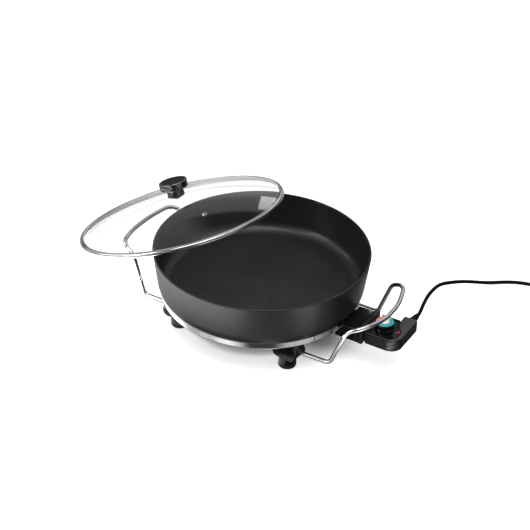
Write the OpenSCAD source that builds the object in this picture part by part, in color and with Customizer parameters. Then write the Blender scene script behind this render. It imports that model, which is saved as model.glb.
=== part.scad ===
// Electric skillet: a cast pan on four feet, with a loose glass lid, two wire
// handles and a plug-in thermostat on a mains lead.
// Frame: origin on the table under the pan's axis, +X towards the thermostat,
// +Z up. Lengths are in millimetres.

/* [Pan] */
// Diameter over the pan's rim
rim_d = 400; // [380:1:410]
// Diameter of the pan's flat underside
pan_base_d = 367.2; // [362:0.1:370]
// Height of the pan from its underside to its rim
pan_h = 83.7; // [70:0.1:95]
// Height at which the rounded bottom edge runs into the side wall
pan_edge_h = 21; // [16:0.5:26]
// How far the side wall leans out between that height and the rim, across the diameter
pan_flare = 16; // [12:0.5:20]
// Thickness of the pan's wall
pan_wall = 3.5; // [2.5:0.1:4.5]
// Thickness of the pan's floor
pan_floor = 6; // [4:0.5:8]
// Radius inside, between the wall and the floor
pan_inner_r = 22; // [14:1:28]
// Diameter of a screw boss under the pan
boss_d = 12; // [10:0.5:13]

/* [Base shield] */
// Height of the shield's floor above the table
stand_h = 63; // [60:0.5:70]
// Depth of the shield from its floor to the pan's underside
shield_h = 11; // [10.5:0.1:12]
// How far the shield's lower edge stands out from the pan's underside
shield_out = 2; // [1.5:0.1:3]
// Thickness of the shield's sheet
shield_t = 1.2; // [0.8:0.1:1.5]

/* [Feet and brackets] */
// Distance of a bracket's screw inwards from the edge of the pan's underside
screw_in = 11.04; // [10.3:0.01:12]
// Distance of a foot's axis outwards from the handle's rod
rod_aside = 4.6; // [3:0.1:6]
// Diameter of a foot
foot_d = 33; // [30:0.5:34]
// Height of the rubber pad at the bottom of a foot
pad_h = 8; // [6:0.5:10]
// Height of the bracket's plate at its top face
plate_top = 41.7; // [41:0.1:45]
// Height of the bracket's plate at its lower face
plate_low = 24; // [22:0.5:26]
// Reach of the bracket outwards from the foot's axis
bracket_out = 26.7; // [26:0.1:28]
// Reach of the bracket inwards from the foot's axis
bracket_in = 22; // [20:0.5:26]
// Width of the bracket
bracket_w = 34; // [33.5:0.5:36]
// Turn of the bracket outwards from the handle's rod
splay = 6.4; // [5:0.1:7.5]
// Length of the bracket's upright post
post_l = 12; // [11:0.5:13]
// Width of the upright post
post_w = 26; // [25.5:0.5:28]

/* [Handles] */
// Diameter of the handle's rod
rod_d = 8; // [7:0.1:8.4]
// Height of the rod where it leaves the brackets
rod_z = 34.7; // [33.5:0.1:35]
// Distance between the rod's two lower runs
rod_span = 187.6; // [186:0.2:189]
// Distance of the handle's lower bend from the pan's axis
rod_low_x = 198.1; // [194:0.1:206]
// Distance of the handle's upper bend from the pan's axis
rod_rise_x = 225; // [220:0.5:230]
// Height of the handle's upper bend
rod_rise_z = 109.1; // [100:0.1:120]
// Distance of the grip's corner from the pan's axis
grip_x = 252.5; // [248:0.5:258]
// Height of the grip's corner
grip_z = 122.3; // [115:0.1:130]
// Distance of the middle of the grip from the pan's axis
grip_mid_x = 268.1; // [264:0.1:276]
// Height of the middle of the grip
grip_mid_z = 116.7; // [110:0.1:126]
// How deep a rod's end sits in its bracket
rod_seat = 30; // [26:1:34]

/* [Lid] */
// Diameter over the lid's steel band
lid_d = 402.6; // [390:0.2:410]
// Height of the lid's steel band
band_h = 9; // [8:0.5:11]
// Thickness of the band's sheet
band_t = 1; // [0.6:0.1:1.4]
// How far the band's lips reach inwards over the glass
band_lip = 7; // [5:0.5:9]
// Thickness of the glass
glass_t = 4; // [3:0.5:5]
// Rise of the glass from its edge to its middle
dome_h = 36; // [30:0.5:42]
// Lean of the lid against the pan
lid_tilt = 19.97; // [18.5:0.01:21]
// Direction the lid leans towards, from +X
lid_turn = 169; // [160:0.1:178]
// Direction from the pan's axis to where the lid's edge crosses the rim
rest_turn = 222.555; // [219:0.001:226]
// Direction from the lid's middle to the same place
edge_turn = 120.753; // [118:0.001:123]
// Height of the band's lower corner over the rim at that place
edge_over = 1.9; // [1.85:0.01:3]
// Distance of the vent from the lid's middle
vent_at = 123; // [110:1:135]
// Direction of the vent on the lid
vent_turn = 160; // [0:1:359]
// Diameter of the vent's eyelet
vent_d = 9.5; // [8:0.5:12]

/* [Knob] */
// Diameter of the knob
knob_d = 55; // [48:0.5:60]
// Thickness of the knob's disc
knob_t = 14; // [11:0.5:16]
// Diameter of the knob's stem
stem_d = 33; // [26:0.5:36]
// Height of the knob over the glass
knob_h = 30; // [26:0.5:34]
// Diameter of the knob's screw
knob_screw_d = 5; // [4:0.5:6]

/* [Heater and socket] */
// Diameter of the heating element's ring, at the middle of its tube
heater_d = 240; // [220:1:250]
// Diameter of the heating element's tube and of the probe's sleeve
tube_d = 8; // [7:0.1:8.4]
// Distance of each contact pin from the middle
pin_y = 19; // [17.5:0.5:20]
// Diameter of a contact pin
pin_d = 5; // [4:0.1:5.4]
// Length of a contact pin beyond the socket's back wall
pin_l = 30; // [24:0.5:34]
// Length of the probe's sleeve under the pan
sleeve_l = 96; // [80:1:104]
// Width of the socket housing
socket_w = 66; // [65:0.5:70]
// Distance of the socket's back wall outwards from the pan's underside
socket_gap = 8.4; // [8:0.1:9.4]
// Distance of the socket's end flange from its back wall
flange_x = 25; // [23:0.5:27]
// Distance of the socket's open end from its back wall
socket_end_x = 38; // [36:0.5:40]
// Depth of the socket's underside below the probe's axis
socket_low = 19; // [17:0.5:21]
// Height of the socket's top plate above the probe's axis
socket_top = 9.5; // [9:0.1:11]
// Height of the top of the end flange above the probe's axis
flange_top = 16; // [14:0.5:18]
// Wall of the socket at its sides
socket_wall = 3.5; // [2.5:0.1:4]

/* [Thermostat] */
// Distance of the thermostat's shoulder from the socket's back wall
shoulder_x = 44.5; // [43.5:0.5:46]
// Distance of the thermostat's outer face from the socket's back wall
outer_x = 107; // [105:0.5:111]
// Distance of the front face from the middle
front_y = 36; // [34:0.5:38]
// Distance of the back face from the middle
back_y = 34; // [32:0.5:36]
// Distance from the middle to the end of the side arm
arm_y = 50; // [48:0.5:56]
// Width of the side arm
arm_w = 27; // [25:0.5:29]
// Radius of the front corner
corner_r = 22; // [16:1:24]
// Depth of the thermostat's underside below the probe's axis
case_low = 12; // [11:0.1:12.2]
// Height of the thermostat's top face above the probe's axis
case_top = 10; // [9.5:0.1:12]
// Height of the recessed deck above the probe's axis
deck_z = 6.5; // [6.2:0.1:7]
// Wall of the thermostat's shells
case_wall = 2.5; // [2:0.1:2.8]
// Width of the raised border round the deck
border_w = 3.5; // [3:0.1:4.5]
// Length of the probe from the shoulder
probe_l = 134; // [120:1:136]
// Diameter of the probe
probe_d = 6; // [5:0.1:6.3]

/* [Dial] */
// Distance of the dial's axis from the socket's back wall
dial_x = 64; // [63:0.5:65]
// Place of the dial's axis along Y
dial_y = 1; // [0:0.5:2]
// Diameter of the dial
dial_d = 37; // [34:0.5:38]
// Height of the top of the dial above the probe's axis
dial_top = 21; // [18:0.5:24]
// Diameter of the dial's spindle
spindle_d = 6; // [5:0.1:7]
// Distance of the pilot lamp from the socket's back wall
lamp_x = 92.5; // [90:0.5:94]
// Diameter of the pilot lamp's lens
lens_d = 5; // [4:0.1:6]

/* [Lead] */
// Diameter of the mains lead
lead_d = 7; // [6:0.1:7.5]
// Distance of the lead's outlet from the socket's back wall
outlet_x = 93.5; // [92:0.5:95]
// Length of the strain relief outside the thermostat
relief_l = 26; // [22:1:26]
// Diameter of the coil at the middle of its turns
coil_d = 77; // [70:1:84]
// Diameter of the plug
plug_d = 37; // [34:0.5:38]
// Length of the plug's body
plug_l = 36; // [32:1:40]
// Length of a plug pin
plug_pin_l = 19; // [17:0.5:20]
// Diameter of a plug pin
plug_pin_d = 4.8; // [4:0.1:5]
// Distance between the plug pins
plug_pin_gap = 19; // [18:0.5:20]

/* [Fits] */
// Radial clearance of a running or sliding fit
run_gap = 0.08; // [0.04:0.01:0.1]
// Clearance between a loose piece and its seat
seat_gap = 0.3; // [0.2:0.05:0.4]
// Radial clearance of a screw in its hole
screw_gap = 0.05; // [0.03:0.01:0.1]

/* [Hidden] */

$fn = 96;
// Least overlap of two shapes of one solid, and how far a boss runs into what it stands on
eps = 0.01;
bite = 1;

// Heights of the pan and what is under it
pan_z = stand_h + shield_h;
rim_z = pan_z + pan_h;
shield_in = stand_h + shield_t;
axis_z = pan_z - tube_d / 2;

// The pan's outer wall, from the rounded edge to the rim
rim_r = rim_d / 2;
base_r = pan_base_d / 2;
shield_r = base_r + shield_out;
edge_top_r = rim_r - pan_flare / 2;
wall_lean = atan((rim_r - edge_top_r) / (pan_h - pan_edge_h));
edge_dx = edge_top_r - base_r;
edge_r = (edge_dx * edge_dx + pan_edge_h * pan_edge_h)
    / (2 * (edge_dx * cos(wall_lean) - pan_edge_h * sin(wall_lean)));
edge_c = [edge_top_r - edge_r * cos(wall_lean), pan_z + pan_edge_h + edge_r * sin(wall_lean)];
edge_start = atan2((pan_z - edge_c[1]) / edge_r, (base_r - edge_c[0]) / edge_r);

// Screws
screw_r = 2;
head_r = 3.6;
head_h = 2.6;
foot_y = rod_span / 2 + rod_aside;
// The post's screw, seen from the foot's axis, along the bracket and across it
post_at = [bracket_out - post_l / 2, 6.5];
post_screw_y = foot_y + post_at[0] * sin(splay) + post_at[1] * cos(splay);
post_x = sqrt(pow(base_r - screw_in, 2) - pow(post_screw_y, 2));
foot_x = post_x - post_at[0] * cos(splay) + post_at[1] * sin(splay);
back_x = max(edge_top_r, base_r + socket_gap);
tongue_in = 23.6;
tongue_w = 56;
tongue_low = stand_h - 6;
tongue_screw = [13.6, 9.5];
tongue_boss_d = 9;
head_seat_z = plate_low + 12;
grub_x = foot_x + 13;
grub_r = 2;
// The pad's stud, which sits in the bracket
stud_r = 5;
stud_h = 6;

// The socket and the thermostat, seen from the middle of the socket's back wall
cavity_y = socket_w / 2 - socket_wall;
cavity_low = -case_low - seat_gap;
cavity_top = socket_top - socket_wall;
snout_x = 14;
snout_y = cavity_y - seat_gap;
snout_top = cavity_top - seat_gap;
arm_x = outer_x - arm_w;
shell_screw_at = [[shoulder_x + 8, 7 - front_y], [shoulder_x + 8, back_y - 7], [outer_x - 7, arm_y - 20]];
shell_screw_r = 1.5;
shell_head_r = 3;
shell_post_r = 4;
switch_w = 20;
switch_x = dial_x - switch_w / 2;
switch_top = deck_z - case_wall - 0.5;

// The lid stands in its own frame, with its middle at the top of the band
lid_r = lid_d / 2;
lid_c = [rim_r * cos(rest_turn), rim_r * sin(rest_turn), rim_z + edge_over]
    - leaned([lid_r * cos(edge_turn), lid_r * sin(edge_turn), -band_h]);
glass_edge_r = lid_r - band_t - seat_gap / 3;
dome_base_r = lid_r - band_lip - seat_gap;
dome_r = (dome_base_r * dome_base_r + dome_h * dome_h) / (2 * dome_h);
dome_c = dome_h - dome_r;
flange_z = -band_t - 0.1;
cap_r = dome_r - glass_t;
vent_lean = asin(vent_at / dome_r);

// The lead's way from the strain relief to the coil, along the table at the end
lead_r = lead_d / 2;
lead_route = [
    [285.5, 76, 70], [285.5, 84, 70], [283.5, 97, 72], [281, 113, 75], [279, 132, 78], [278, 155, 77.5],
    [277.5, 178, 73.5], [278, 200, 66], [280, 223, 56], [284, 250, 44], [290.5, 276, 32.5],
    [299, 299, 22], [309, 319, 13], [321, 337, 6.5], [335, 352, 4], [351, 364, 3.5],
    [369, 373, 3.5], [388, 379, 3.5], [406, 382, 3.5]
];
coil_c = [428, 425];
coil_band = 2 * lead_d;
tail_route = [[470, 440, 11.5], [470, 446, 13.5], [470, 452, 16.2], [470, 458, 18],
    [470, 463, 18.5], [470, 467, 18.5]];
plug_at = [470, 467, plug_d / 2];
plug_relief_l = 20;

// Turns a point over to the other side of the middle
flip_y = [[1, 0, 0], [0, -1, 0], [0, 0, 1]];

// Turns a direction the way the lid leans
function leaned(p) =
    let (x = p[0] * cos(lid_tilt) + p[2] * sin(lid_tilt), z = p[2] * cos(lid_tilt) - p[0] * sin(lid_tilt))
    [x * cos(lid_turn) - p[1] * sin(lid_turn), x * sin(lid_turn) + p[1] * cos(lid_turn), z];

function unit(v) = v / norm(v);
function arc(c, r, a, b, n = 8) =
    [for (i = [0:n]) [c[0] + r * cos(a + (b - a) * i / n), c[1] + r * sin(a + (b - a) * i / n)]];

// Points of a rounded corner at b, between a and c
function round_corner(a, b, c, r, n) =
    let (u = unit(a - b), v = unit(c - b), open = acos(u * v), turn = 180 - open,
         p = b + u * r / tan(open / 2), q = b + v * r / tan(open / 2),
         m = b + unit(u + v) * r / sin(open / 2))
    [for (i = [0:n]) let (s = i / n)
        m + ((p - m) * sin((1 - s) * turn) + (q - m) * sin(s * turn)) / sin(turn)];

// Direction of a line of points at each of them
function directions(path) =
    [for (i = [0:len(path) - 1]) unit(path[min(i + 1, len(path) - 1)] - path[max(i - 1, 0)])];

// Sideways directions carried along the line without twisting
function carried(ways, side, i = 0) =
    i == len(ways) ? []
    : let (n = unit(side - ways[i] * (side * ways[i]))) concat([n], carried(ways, n, i + 1));

module sweep(path, r, sides, side = [0, 0, 1]) {
    ways = directions(path);
    normals = carried(ways, side);
    last = len(path) - 1;
    points = [for (i = [0:last]) for (k = [0:sides - 1])
        path[i] + r * (cos(360 * k / sides) * normals[i]
            + sin(360 * k / sides) * cross(ways[i], normals[i]))];
    near = [for (k = [0:sides - 1]) k];
    far = [for (k = [0:sides - 1]) last * sides + sides - 1 - k];
    walls = [for (i = [0:last - 1]) for (k = [0:sides - 1])
        [i * sides + k, (i + 1) * sides + k, (i + 1) * sides + (k + 1) % sides, i * sides + (k + 1) % sides]];
    polyhedron(points, concat([near], [far], walls), convexity = 8);
}

module on_x(x, y, z) { translate([x, y, z]) rotate([0, 90, 0]) children(); }

module on_y(x, y, z) { translate([x, y, z]) rotate([-90, 0, 0]) children(); }

module in_socket() { translate([back_x, 0, axis_z]) children(); }

// The pan's outer line from its underside to the top, moved out by gap
function pan_line(gap, top) = concat(
    arc(edge_c, edge_r + gap, edge_start, -wall_lean, 10),
    [[edge_top_r + gap + (top - pan_z - pan_edge_h) * tan(wall_lean), top]]);

module pan_section() {
    round_r = pan_wall / 2;
    inner_top = rim_r - pan_wall;
    lean = tan(wall_lean);
    floor_z = pan_z + pan_floor;
    wall_at = inner_top - (rim_z - floor_z - pan_inner_r) * lean;
    polygon(concat(
        [[0, pan_z]],
        pan_line(0, rim_z - round_r),
        arc([rim_r - round_r, rim_z - round_r], round_r, 0, 180),
        arc([wall_at - pan_inner_r, floor_z + pan_inner_r], pan_inner_r, 0, -90),
        [[0, floor_z]]));
}

// The same thing at each of the four brackets
module at_brackets() {
    for (sx = [0, 1]) for (sy = [0, 1]) mirror([sx, 0, 0]) mirror([0, sy, 0]) children();
}

// The same thing at each of the two screws that hold the socket housing
module at_tongue_screws() {
    for (s = [-1, 1]) translate([base_r - tongue_screw[0], s * tongue_screw[1], 0]) children();
}

module pan_body() {
    color("dimgray") difference() {
        union() {
            rotate_extrude() pan_section();
            at_brackets() translate([post_x, post_screw_y, shield_in])
                cylinder(d = boss_d, h = shield_h - shield_t + bite);
            at_tongue_screws() translate([0, 0, shield_in])
                cylinder(d = tongue_boss_d, h = shield_h - shield_t + bite);
        }
        at_brackets() translate([post_x, post_screw_y, shield_in - bite])
            cylinder(r = screw_r + screw_gap, h = shield_h);
        at_tongue_screws() translate([0, 0, shield_in - bite])
            cylinder(r = screw_r + screw_gap, h = shield_h);
    }
}

module base_shield() {
    top_r = base_r - shield_t / 2;
    bend = 3;
    color("silver") difference() {
        rotate_extrude() polygon(concat(
            [[0, stand_h]],
            arc([shield_r - bend, stand_h + bend], bend, -90, 0),
            [[top_r, pan_z], [top_r - shield_t, pan_z]],
            arc([shield_r - bend, stand_h + bend], bend - shield_t, 0, -90),
            [[0, shield_in]]));
        for (y = [-pin_y, 0, pin_y]) on_x(base_r - 12, y, axis_z)
            cylinder(r = tube_d / 2 + seat_gap, h = 20);
        at_brackets() translate([post_x, post_screw_y, stand_h - 1])
            cylinder(r = screw_r + seat_gap, h = shield_t + 2);
        at_tongue_screws() translate([0, 0, stand_h - 1])
            cylinder(r = screw_r + seat_gap, h = shield_t + 2);
    }
}

// One tube: a straight cold end, the ring, and the other cold end
module heating_element() {
    ring_r = heater_d / 2;
    turn_in = 6;
    start = asin(pin_y / ring_r) + turn_in;
    ring_x = ring_r * cos(start);
    cold_end = [[back_x, pin_y, axis_z], [ring_x + 2 * tube_d, pin_y, axis_z],
        [ring_x + 5, pin_y + 3, axis_z]];
    color("dimgray") sweep(concat(
        cold_end,
        [for (p = arc([0, 0], ring_r, start, 360 - start, 40)) [p[0], p[1], axis_z]],
        [for (i = [2:-1:0]) flip_y * cold_end[i]]), tube_d / 2, 10);
}

module element_seals() {
    seal_t = 4;
    color("ivory") for (s = [-1, 1]) on_x(back_x, s * pin_y, axis_z) difference() {
        cylinder(d = tube_d + 2.5, h = seal_t);
        translate([0, 0, -1]) cylinder(r = pin_d / 2 + screw_gap, h = seal_t + 2);
    }
}

module contact_pins() {
    color("gold") for (s = [-1, 1]) on_x(back_x, s * pin_y, axis_z)
        cylinder(d = pin_d, h = pin_l);
}

// A blind tube that lies against the pan and stands a little into the socket
module probe_sleeve() {
    stand_out = 2;
    end_t = 3;
    start = back_x + stand_out - sleeve_l;
    color("silver") difference() {
        on_x(start, 0, axis_z) cylinder(d = tube_d, h = sleeve_l);
        on_x(start + end_t, 0, axis_z) cylinder(r = probe_d / 2 + run_gap, h = sleeve_l);
    }
}

module socket_housing() {
    start_x = -17;
    low = -socket_low;
    tongue = tongue_low - axis_z;
    side = [[start_x, low], [flange_x + 2, low], [flange_x + 5, low + 1],
        [socket_end_x, low + 1], [socket_end_x, flange_top], [flange_x + 6, flange_top],
        [flange_x, socket_top], [-2.5, socket_top], [start_x, tongue + 2]];
    color([0.08, 0.08, 0.08]) difference() {
        in_socket() {
            translate([0, socket_w / 2, 0]) rotate([90, 0, 0]) linear_extrude(socket_w) polygon(side);
            translate([flange_x + 5, -socket_w / 2 - 2, low + 1])
                cube([socket_end_x - flange_x - 5, socket_w + 4, flange_top - low - 1]);
            translate([base_r - tongue_in - back_x, -tongue_w / 2, tongue])
                cube([back_x - base_r + tongue_in, tongue_w, stand_h - tongue_low]);
        }
        rotate_extrude() polygon(concat([[0, stand_h], [shield_r + seat_gap, stand_h],
            [shield_r + seat_gap, pan_z]], pan_line(seat_gap, rim_z), [[0, rim_z]]));
        in_socket() {
            translate([0, -cavity_y, cavity_low])
                cube([socket_end_x + 1, 2 * cavity_y, cavity_top - cavity_low]);
            for (y = [-pin_y, 0, pin_y]) on_x(start_x, y, 0)
                cylinder(r = tube_d / 2 + run_gap, h = 25);
        }
        at_tongue_screws() translate([0, 0, tongue_low - 1]) {
            cylinder(r = screw_r + screw_gap, h = 10);
            cylinder(r = head_r + screw_gap, h = head_h + 1);
        }
    }
}

module screw(low, top) {
    translate([0, 0, low]) cylinder(r = head_r, h = head_h);
    translate([0, 0, low + head_h - eps]) cylinder(r = screw_r, h = top - low - head_h + eps);
}

module housing_screws() {
    color("silver") at_tongue_screws() screw(tongue_low, pan_z - 3);
}

module bracket() {
    lobe = 11;
    toe = 13;
    chamfer = 2;
    edge_cut = 2.5;
    half_w = bracket_w / 2;
    post_in = bracket_out - post_l;
    side = concat(
        arc([lobe - bracket_in, plate_low + lobe], lobe, 270, 180),
        [[-bracket_in, plate_top - chamfer], [chamfer - bracket_in, plate_top], [post_in, plate_top],
            [post_in, stand_h], [bracket_out, stand_h]],
        arc([bracket_out - toe, plate_low + toe], toe, 0, -90));
    across = [[-half_w, 0], [half_w, 0], [half_w, plate_top - edge_cut],
        [half_w - edge_cut, plate_top], [-half_w, plate_top]];
    difference() {
        translate([foot_x, foot_y, 0]) {
            rotate([0, 0, splay]) intersection() {
                translate([0, half_w + 1, 0]) rotate([90, 0, 0])
                    linear_extrude(bracket_w + 2) polygon(side);
                union() {
                    translate([-bracket_in - 1, 0, 0]) rotate([90, 0, 90])
                        linear_extrude(bracket_in + bracket_out + 2) polygon(across);
                    translate([post_in - 1, -post_w / 2, 0]) cube([post_l + 2, post_w, stand_h + 1]);
                }
            }
            translate([0, 0, pad_h]) cylinder(r = foot_d / 2, h = plate_low + 6 - pad_h);
        }
        on_x(foot_x + bracket_out - rod_seat, rod_span / 2, rod_z)
            cylinder(r = rod_d / 2 + run_gap, h = 60);
        translate([post_x, post_screw_y, 0]) cylinder(r = screw_r + screw_gap, h = 80);
        translate([post_x, post_screw_y, 0]) cylinder(r = head_r + seat_gap, h = head_seat_z);
        translate([grub_x, rod_span / 2, 0]) cylinder(r = grub_r + screw_gap, h = rod_z);
        translate([foot_x, foot_y, 0]) cylinder(r = stud_r + screw_gap, h = pad_h + stud_h);
    }
}

bakelite = [0.07, 0.07, 0.07];

module bracket_right_front() { color(bakelite) mirror([0, 1, 0]) bracket(); }

module bracket_right_rear() { color(bakelite) bracket(); }

module bracket_left_front() { color(bakelite) mirror([1, 0, 0]) mirror([0, 1, 0]) bracket(); }

module bracket_left_rear() { color(bakelite) mirror([1, 0, 0]) bracket(); }

module bracket_screws() {
    color("silver") at_brackets() translate([post_x, post_screw_y, 0])
        screw(head_seat_z - head_h, pan_z - 3);
}

module foot_pads() {
    r = foot_d / 2;
    soft = 4;
    color([0.1, 0.1, 0.1]) at_brackets() translate([foot_x, foot_y, 0]) rotate_extrude()
        polygon(concat([[0, 0]], arc([r - soft, soft], soft, -90, 0),
            [[r, pad_h], [stud_r, pad_h], [stud_r, pad_h + stud_h - 0.5], [0, pad_h + stud_h - 0.5]]));
}

module handle_grub_screws() {
    low = plate_low + 1.5;
    color("silver") at_brackets() translate([grub_x, rod_span / 2, low])
        cylinder(r = grub_r, h = rod_z - rod_d / 2 - low);
}

module handle() {
    half = rod_span / 2;
    start_x = foot_x + bracket_out - rod_seat + run_gap;
    low = [rod_low_x, half, rod_z];
    rise = [rod_rise_x, half - 5.3, rod_rise_z];
    grip = [grip_x, half - 13.2, grip_z];
    mid = [grip_mid_x, 30, grip_mid_z];
    start = [start_x, half, rod_z];
    side = concat([start],
        round_corner(start, low, rise, 14, 6),
        round_corner(low, rise, grip, 30, 6),
        round_corner(rise, grip, mid, 30, 6),
        round_corner(grip, mid, flip_y * mid, 150, 5));
    other = [for (i = [len(side) - 1:-1:0]) flip_y * side[i]];
    sweep(concat(side, other), rod_d / 2, 12);
}

module handle_right() { color("silver") handle(); }

module handle_left() { color("silver") rotate([0, 0, 180]) handle(); }

module in_lid() {
    translate(lid_c) rotate([0, 0, lid_turn]) rotate([0, lid_tilt, 0]) children();
}

module on_vent() {
    rotate([0, 0, vent_turn]) translate([0, 0, dome_c]) rotate([0, vent_lean, 0])
        translate([0, 0, dome_r]) children();
}

module lid_glass() {
    top = asin(dome_base_r / dome_r);
    low = asin((dome_base_r - 2) / cap_r);
    color([0.8, 0.9, 0.9, 0.35]) in_lid() difference() {
        rotate_extrude() polygon(concat(
            arc([0, dome_c], dome_r, 90, 90 - top, 20),
            [[dome_base_r, flange_z], [glass_edge_r, flange_z], [glass_edge_r, flange_z - glass_t],
                [dome_base_r - 2, flange_z - glass_t]],
            arc([0, dome_c], cap_r, 90 - low, 90, 20)));
        cylinder(r = knob_screw_d / 2 + 1, h = 2 * dome_h);
        on_vent() translate([0, 0, -10]) cylinder(r = vent_d / 2 - 1.5 + screw_gap, h = 20);
    }
}

module lid_band() {
    inner = lid_r - band_lip;
    color("silver") in_lid() rotate_extrude() polygon([
        [inner, 0], [lid_r - 1.5, 0], [lid_r, -1.5], [lid_r, 1.5 - band_h], [lid_r - 1.5, -band_h],
        [inner, -band_h], [inner, flange_z - glass_t - 0.2], [lid_r - band_t, flange_z - glass_t - 0.2],
        [lid_r - band_t, -band_t], [inner, -band_t]]);
}

module vent_eyelet() {
    r = vent_d / 2;
    color("silver") in_lid() on_vent() rotate_extrude() polygon([
        [r - 2.5, 1], [r - 0.5, 1], [r, 0.2], [r - 1.5, 0.1], [r - 1.5, -glass_t - 0.1],
        [r, -glass_t - 0.2], [r - 0.5, -glass_t - 1], [r - 2.5, -glass_t - 1]]);
}

module knob_seal() {
    color([0.15, 0.15, 0.15]) in_lid() translate([0, 0, dome_h]) difference() {
        cylinder(d = stem_d, h = 1);
        translate([0, 0, -1]) cylinder(r = knob_screw_d / 2 + 1, h = 3);
    }
}

module lid_knob() {
    r = knob_d / 2;
    stem = stem_d / 2;
    low = dome_h + 1;
    top = dome_h + knob_h;
    disc = top - knob_t;
    color([0.06, 0.06, 0.06]) in_lid() rotate_extrude() polygon(concat(
        [[0, disc + 4], [knob_screw_d / 2 + screw_gap, disc + 4], [knob_screw_d / 2 + screw_gap, low],
            [stem, low], [stem - 0.5, disc - 3]],
        [[stem + 1.5, disc], [r - 3, disc]],
        arc([r - 2, disc + 2], 2, -60, 0, 4),
        arc([r - 3, top - 3], 3, 0, 90, 5),
        [[r - 5, top - 0.8], [0, top - 1.2]]));
}

module knob_washer() {
    color("silver") in_lid() translate([0, 0, dome_h - glass_t - 1.6]) difference() {
        cylinder(r = 11, h = 1.4);
        translate([0, 0, -1]) cylinder(r = knob_screw_d / 2 + screw_gap, h = 4);
    }
}

module knob_screw() {
    seat = dome_h - glass_t - 1.6;
    color("silver") in_lid() union() {
        translate([0, 0, seat - 3]) cylinder(r = knob_screw_d, h = 3);
        translate([0, 0, seat - eps])
            cylinder(d = knob_screw_d, h = dome_h + knob_h - knob_t + 3 - seat);
    }
}

// The thermostat's outline in plan, drawn in by inset
module case_plan(inset) {
    small = 4;
    polygon(concat(
        [[shoulder_x + inset, inset - front_y]],
        arc([outer_x - corner_r, corner_r - front_y], corner_r - inset, -90, 0, 10),
        arc([outer_x - small, arm_y - small], max(small - inset, 0.5), 0, 90, 4),
        arc([arm_x + small, arm_y - small], max(small - inset, 0.5), 90, 180, 4),
        [[arm_x + inset, back_y - inset], [shoulder_x + inset, back_y - inset]]));
}

// The deck: bounded on the outside by a slanted line that curves into the arm
module deck_plan() {
    bend_r = 65;
    run_out = 15;
    far = back_y - border_w;
    slope = acos(1 - run_out / bend_r);
    intersection() {
        translate([-border_w - 1, 0]) case_plan(border_w);
        polygon(concat(
            [[shoulder_x - 20, -front_y], [outer_x - 2, -front_y], [outer_x - 2, -17]],
            arc([arm_x + bend_r, arm_y - 4], bend_r, 180 + slope, 180, 8),
            [[arm_x, far], [shoulder_x - 20, far]]));
    }
}

module snout(low, top) {
    translate([snout_x, -snout_y, low]) cube([shoulder_x + case_wall - snout_x, 2 * snout_y, top - low]);
}

module snout_bores() {
    for (s = [-1, 1]) {
        on_x(snout_x - 1, s * pin_y, 0) cylinder(r = pin_d / 2 + 0.5, h = 4);
        on_x(snout_x + 2, s * pin_y, 0) cylinder(r = tube_d / 2 + screw_gap, h = 60);
    }
    on_x(snout_x - 1, 0, 0) cylinder(r = probe_d / 2 + screw_gap, h = 60);
}

module relief_bore() {
    on_y(outlet_x, arm_y - case_wall - 2, 0) cylinder(r = 5 + screw_gap, h = 10);
    on_y(outlet_x, arm_y - case_wall - 4, 0) cylinder(r = 7, h = 4);
}

module thermostat_lower() {
    color([0.07, 0.07, 0.07]) in_socket() difference() {
        union() {
            difference() {
                translate([0, 0, -case_low]) linear_extrude(case_low) case_plan(0);
                translate([0, 0, case_wall - case_low]) linear_extrude(20) case_plan(case_wall);
            }
            snout(-case_low, 0);
            for (p = shell_screw_at) translate([p[0], p[1], -case_low])
                cylinder(r = shell_post_r, h = case_low);
        }
        snout_bores();
        relief_bore();
        for (p = shell_screw_at) translate([p[0], p[1], -case_low - 1]) {
            cylinder(r = shell_screw_r + screw_gap, h = 30);
            cylinder(r = shell_head_r + screw_gap, h = 3);
        }
    }
}

module thermostat_upper() {
    color([0.1, 0.1, 0.1]) in_socket() difference() {
        union() {
            difference() {
                union() {
                    linear_extrude(case_top - 2) case_plan(0);
                    translate([0, 0, case_top - 2 - eps]) linear_extrude(2 + eps) case_plan(1.2);
                }
                translate([0, 0, -1]) linear_extrude(deck_z - case_wall + 1) case_plan(case_wall);
            }
            snout(0, snout_top);
            for (p = shell_screw_at) translate([p[0], p[1], 0])
                cylinder(r = shell_post_r, h = deck_z - case_wall + eps);
        }
        translate([0, 0, deck_z]) linear_extrude(20) deck_plan();
        snout_bores();
        relief_bore();
        translate([dial_x, dial_y, 0]) cylinder(r = spindle_d / 2 + run_gap, h = 20);
        translate([lamp_x, 0, 0]) cylinder(r = lens_d / 2 + screw_gap, h = 20);
        for (p = shell_screw_at) translate([p[0], p[1], -1])
            cylinder(r = shell_screw_r + screw_gap, h = 4);
    }
}

module thermostat_probe() {
    color("silver") in_socket() on_x(shoulder_x - probe_l, 0, 0)
        cylinder(d = probe_d, h = switch_x - shoulder_x + probe_l);
}

module contact_sockets() {
    color("gold") in_socket() for (s = [-1, 1]) on_x(snout_x + 2 + screw_gap, s * pin_y, 0) difference() {
        cylinder(d = tube_d, h = shoulder_x + 2 - snout_x);
        translate([0, 0, -1]) cylinder(r = pin_d / 2 + run_gap, h = 60);
    }
}

module thermostat_switch() {
    color("ivory") in_socket() translate([switch_x, dial_y - switch_w / 2, case_wall - case_low])
        cube([switch_w, switch_w, switch_top + case_low - case_wall]);
}

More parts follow.
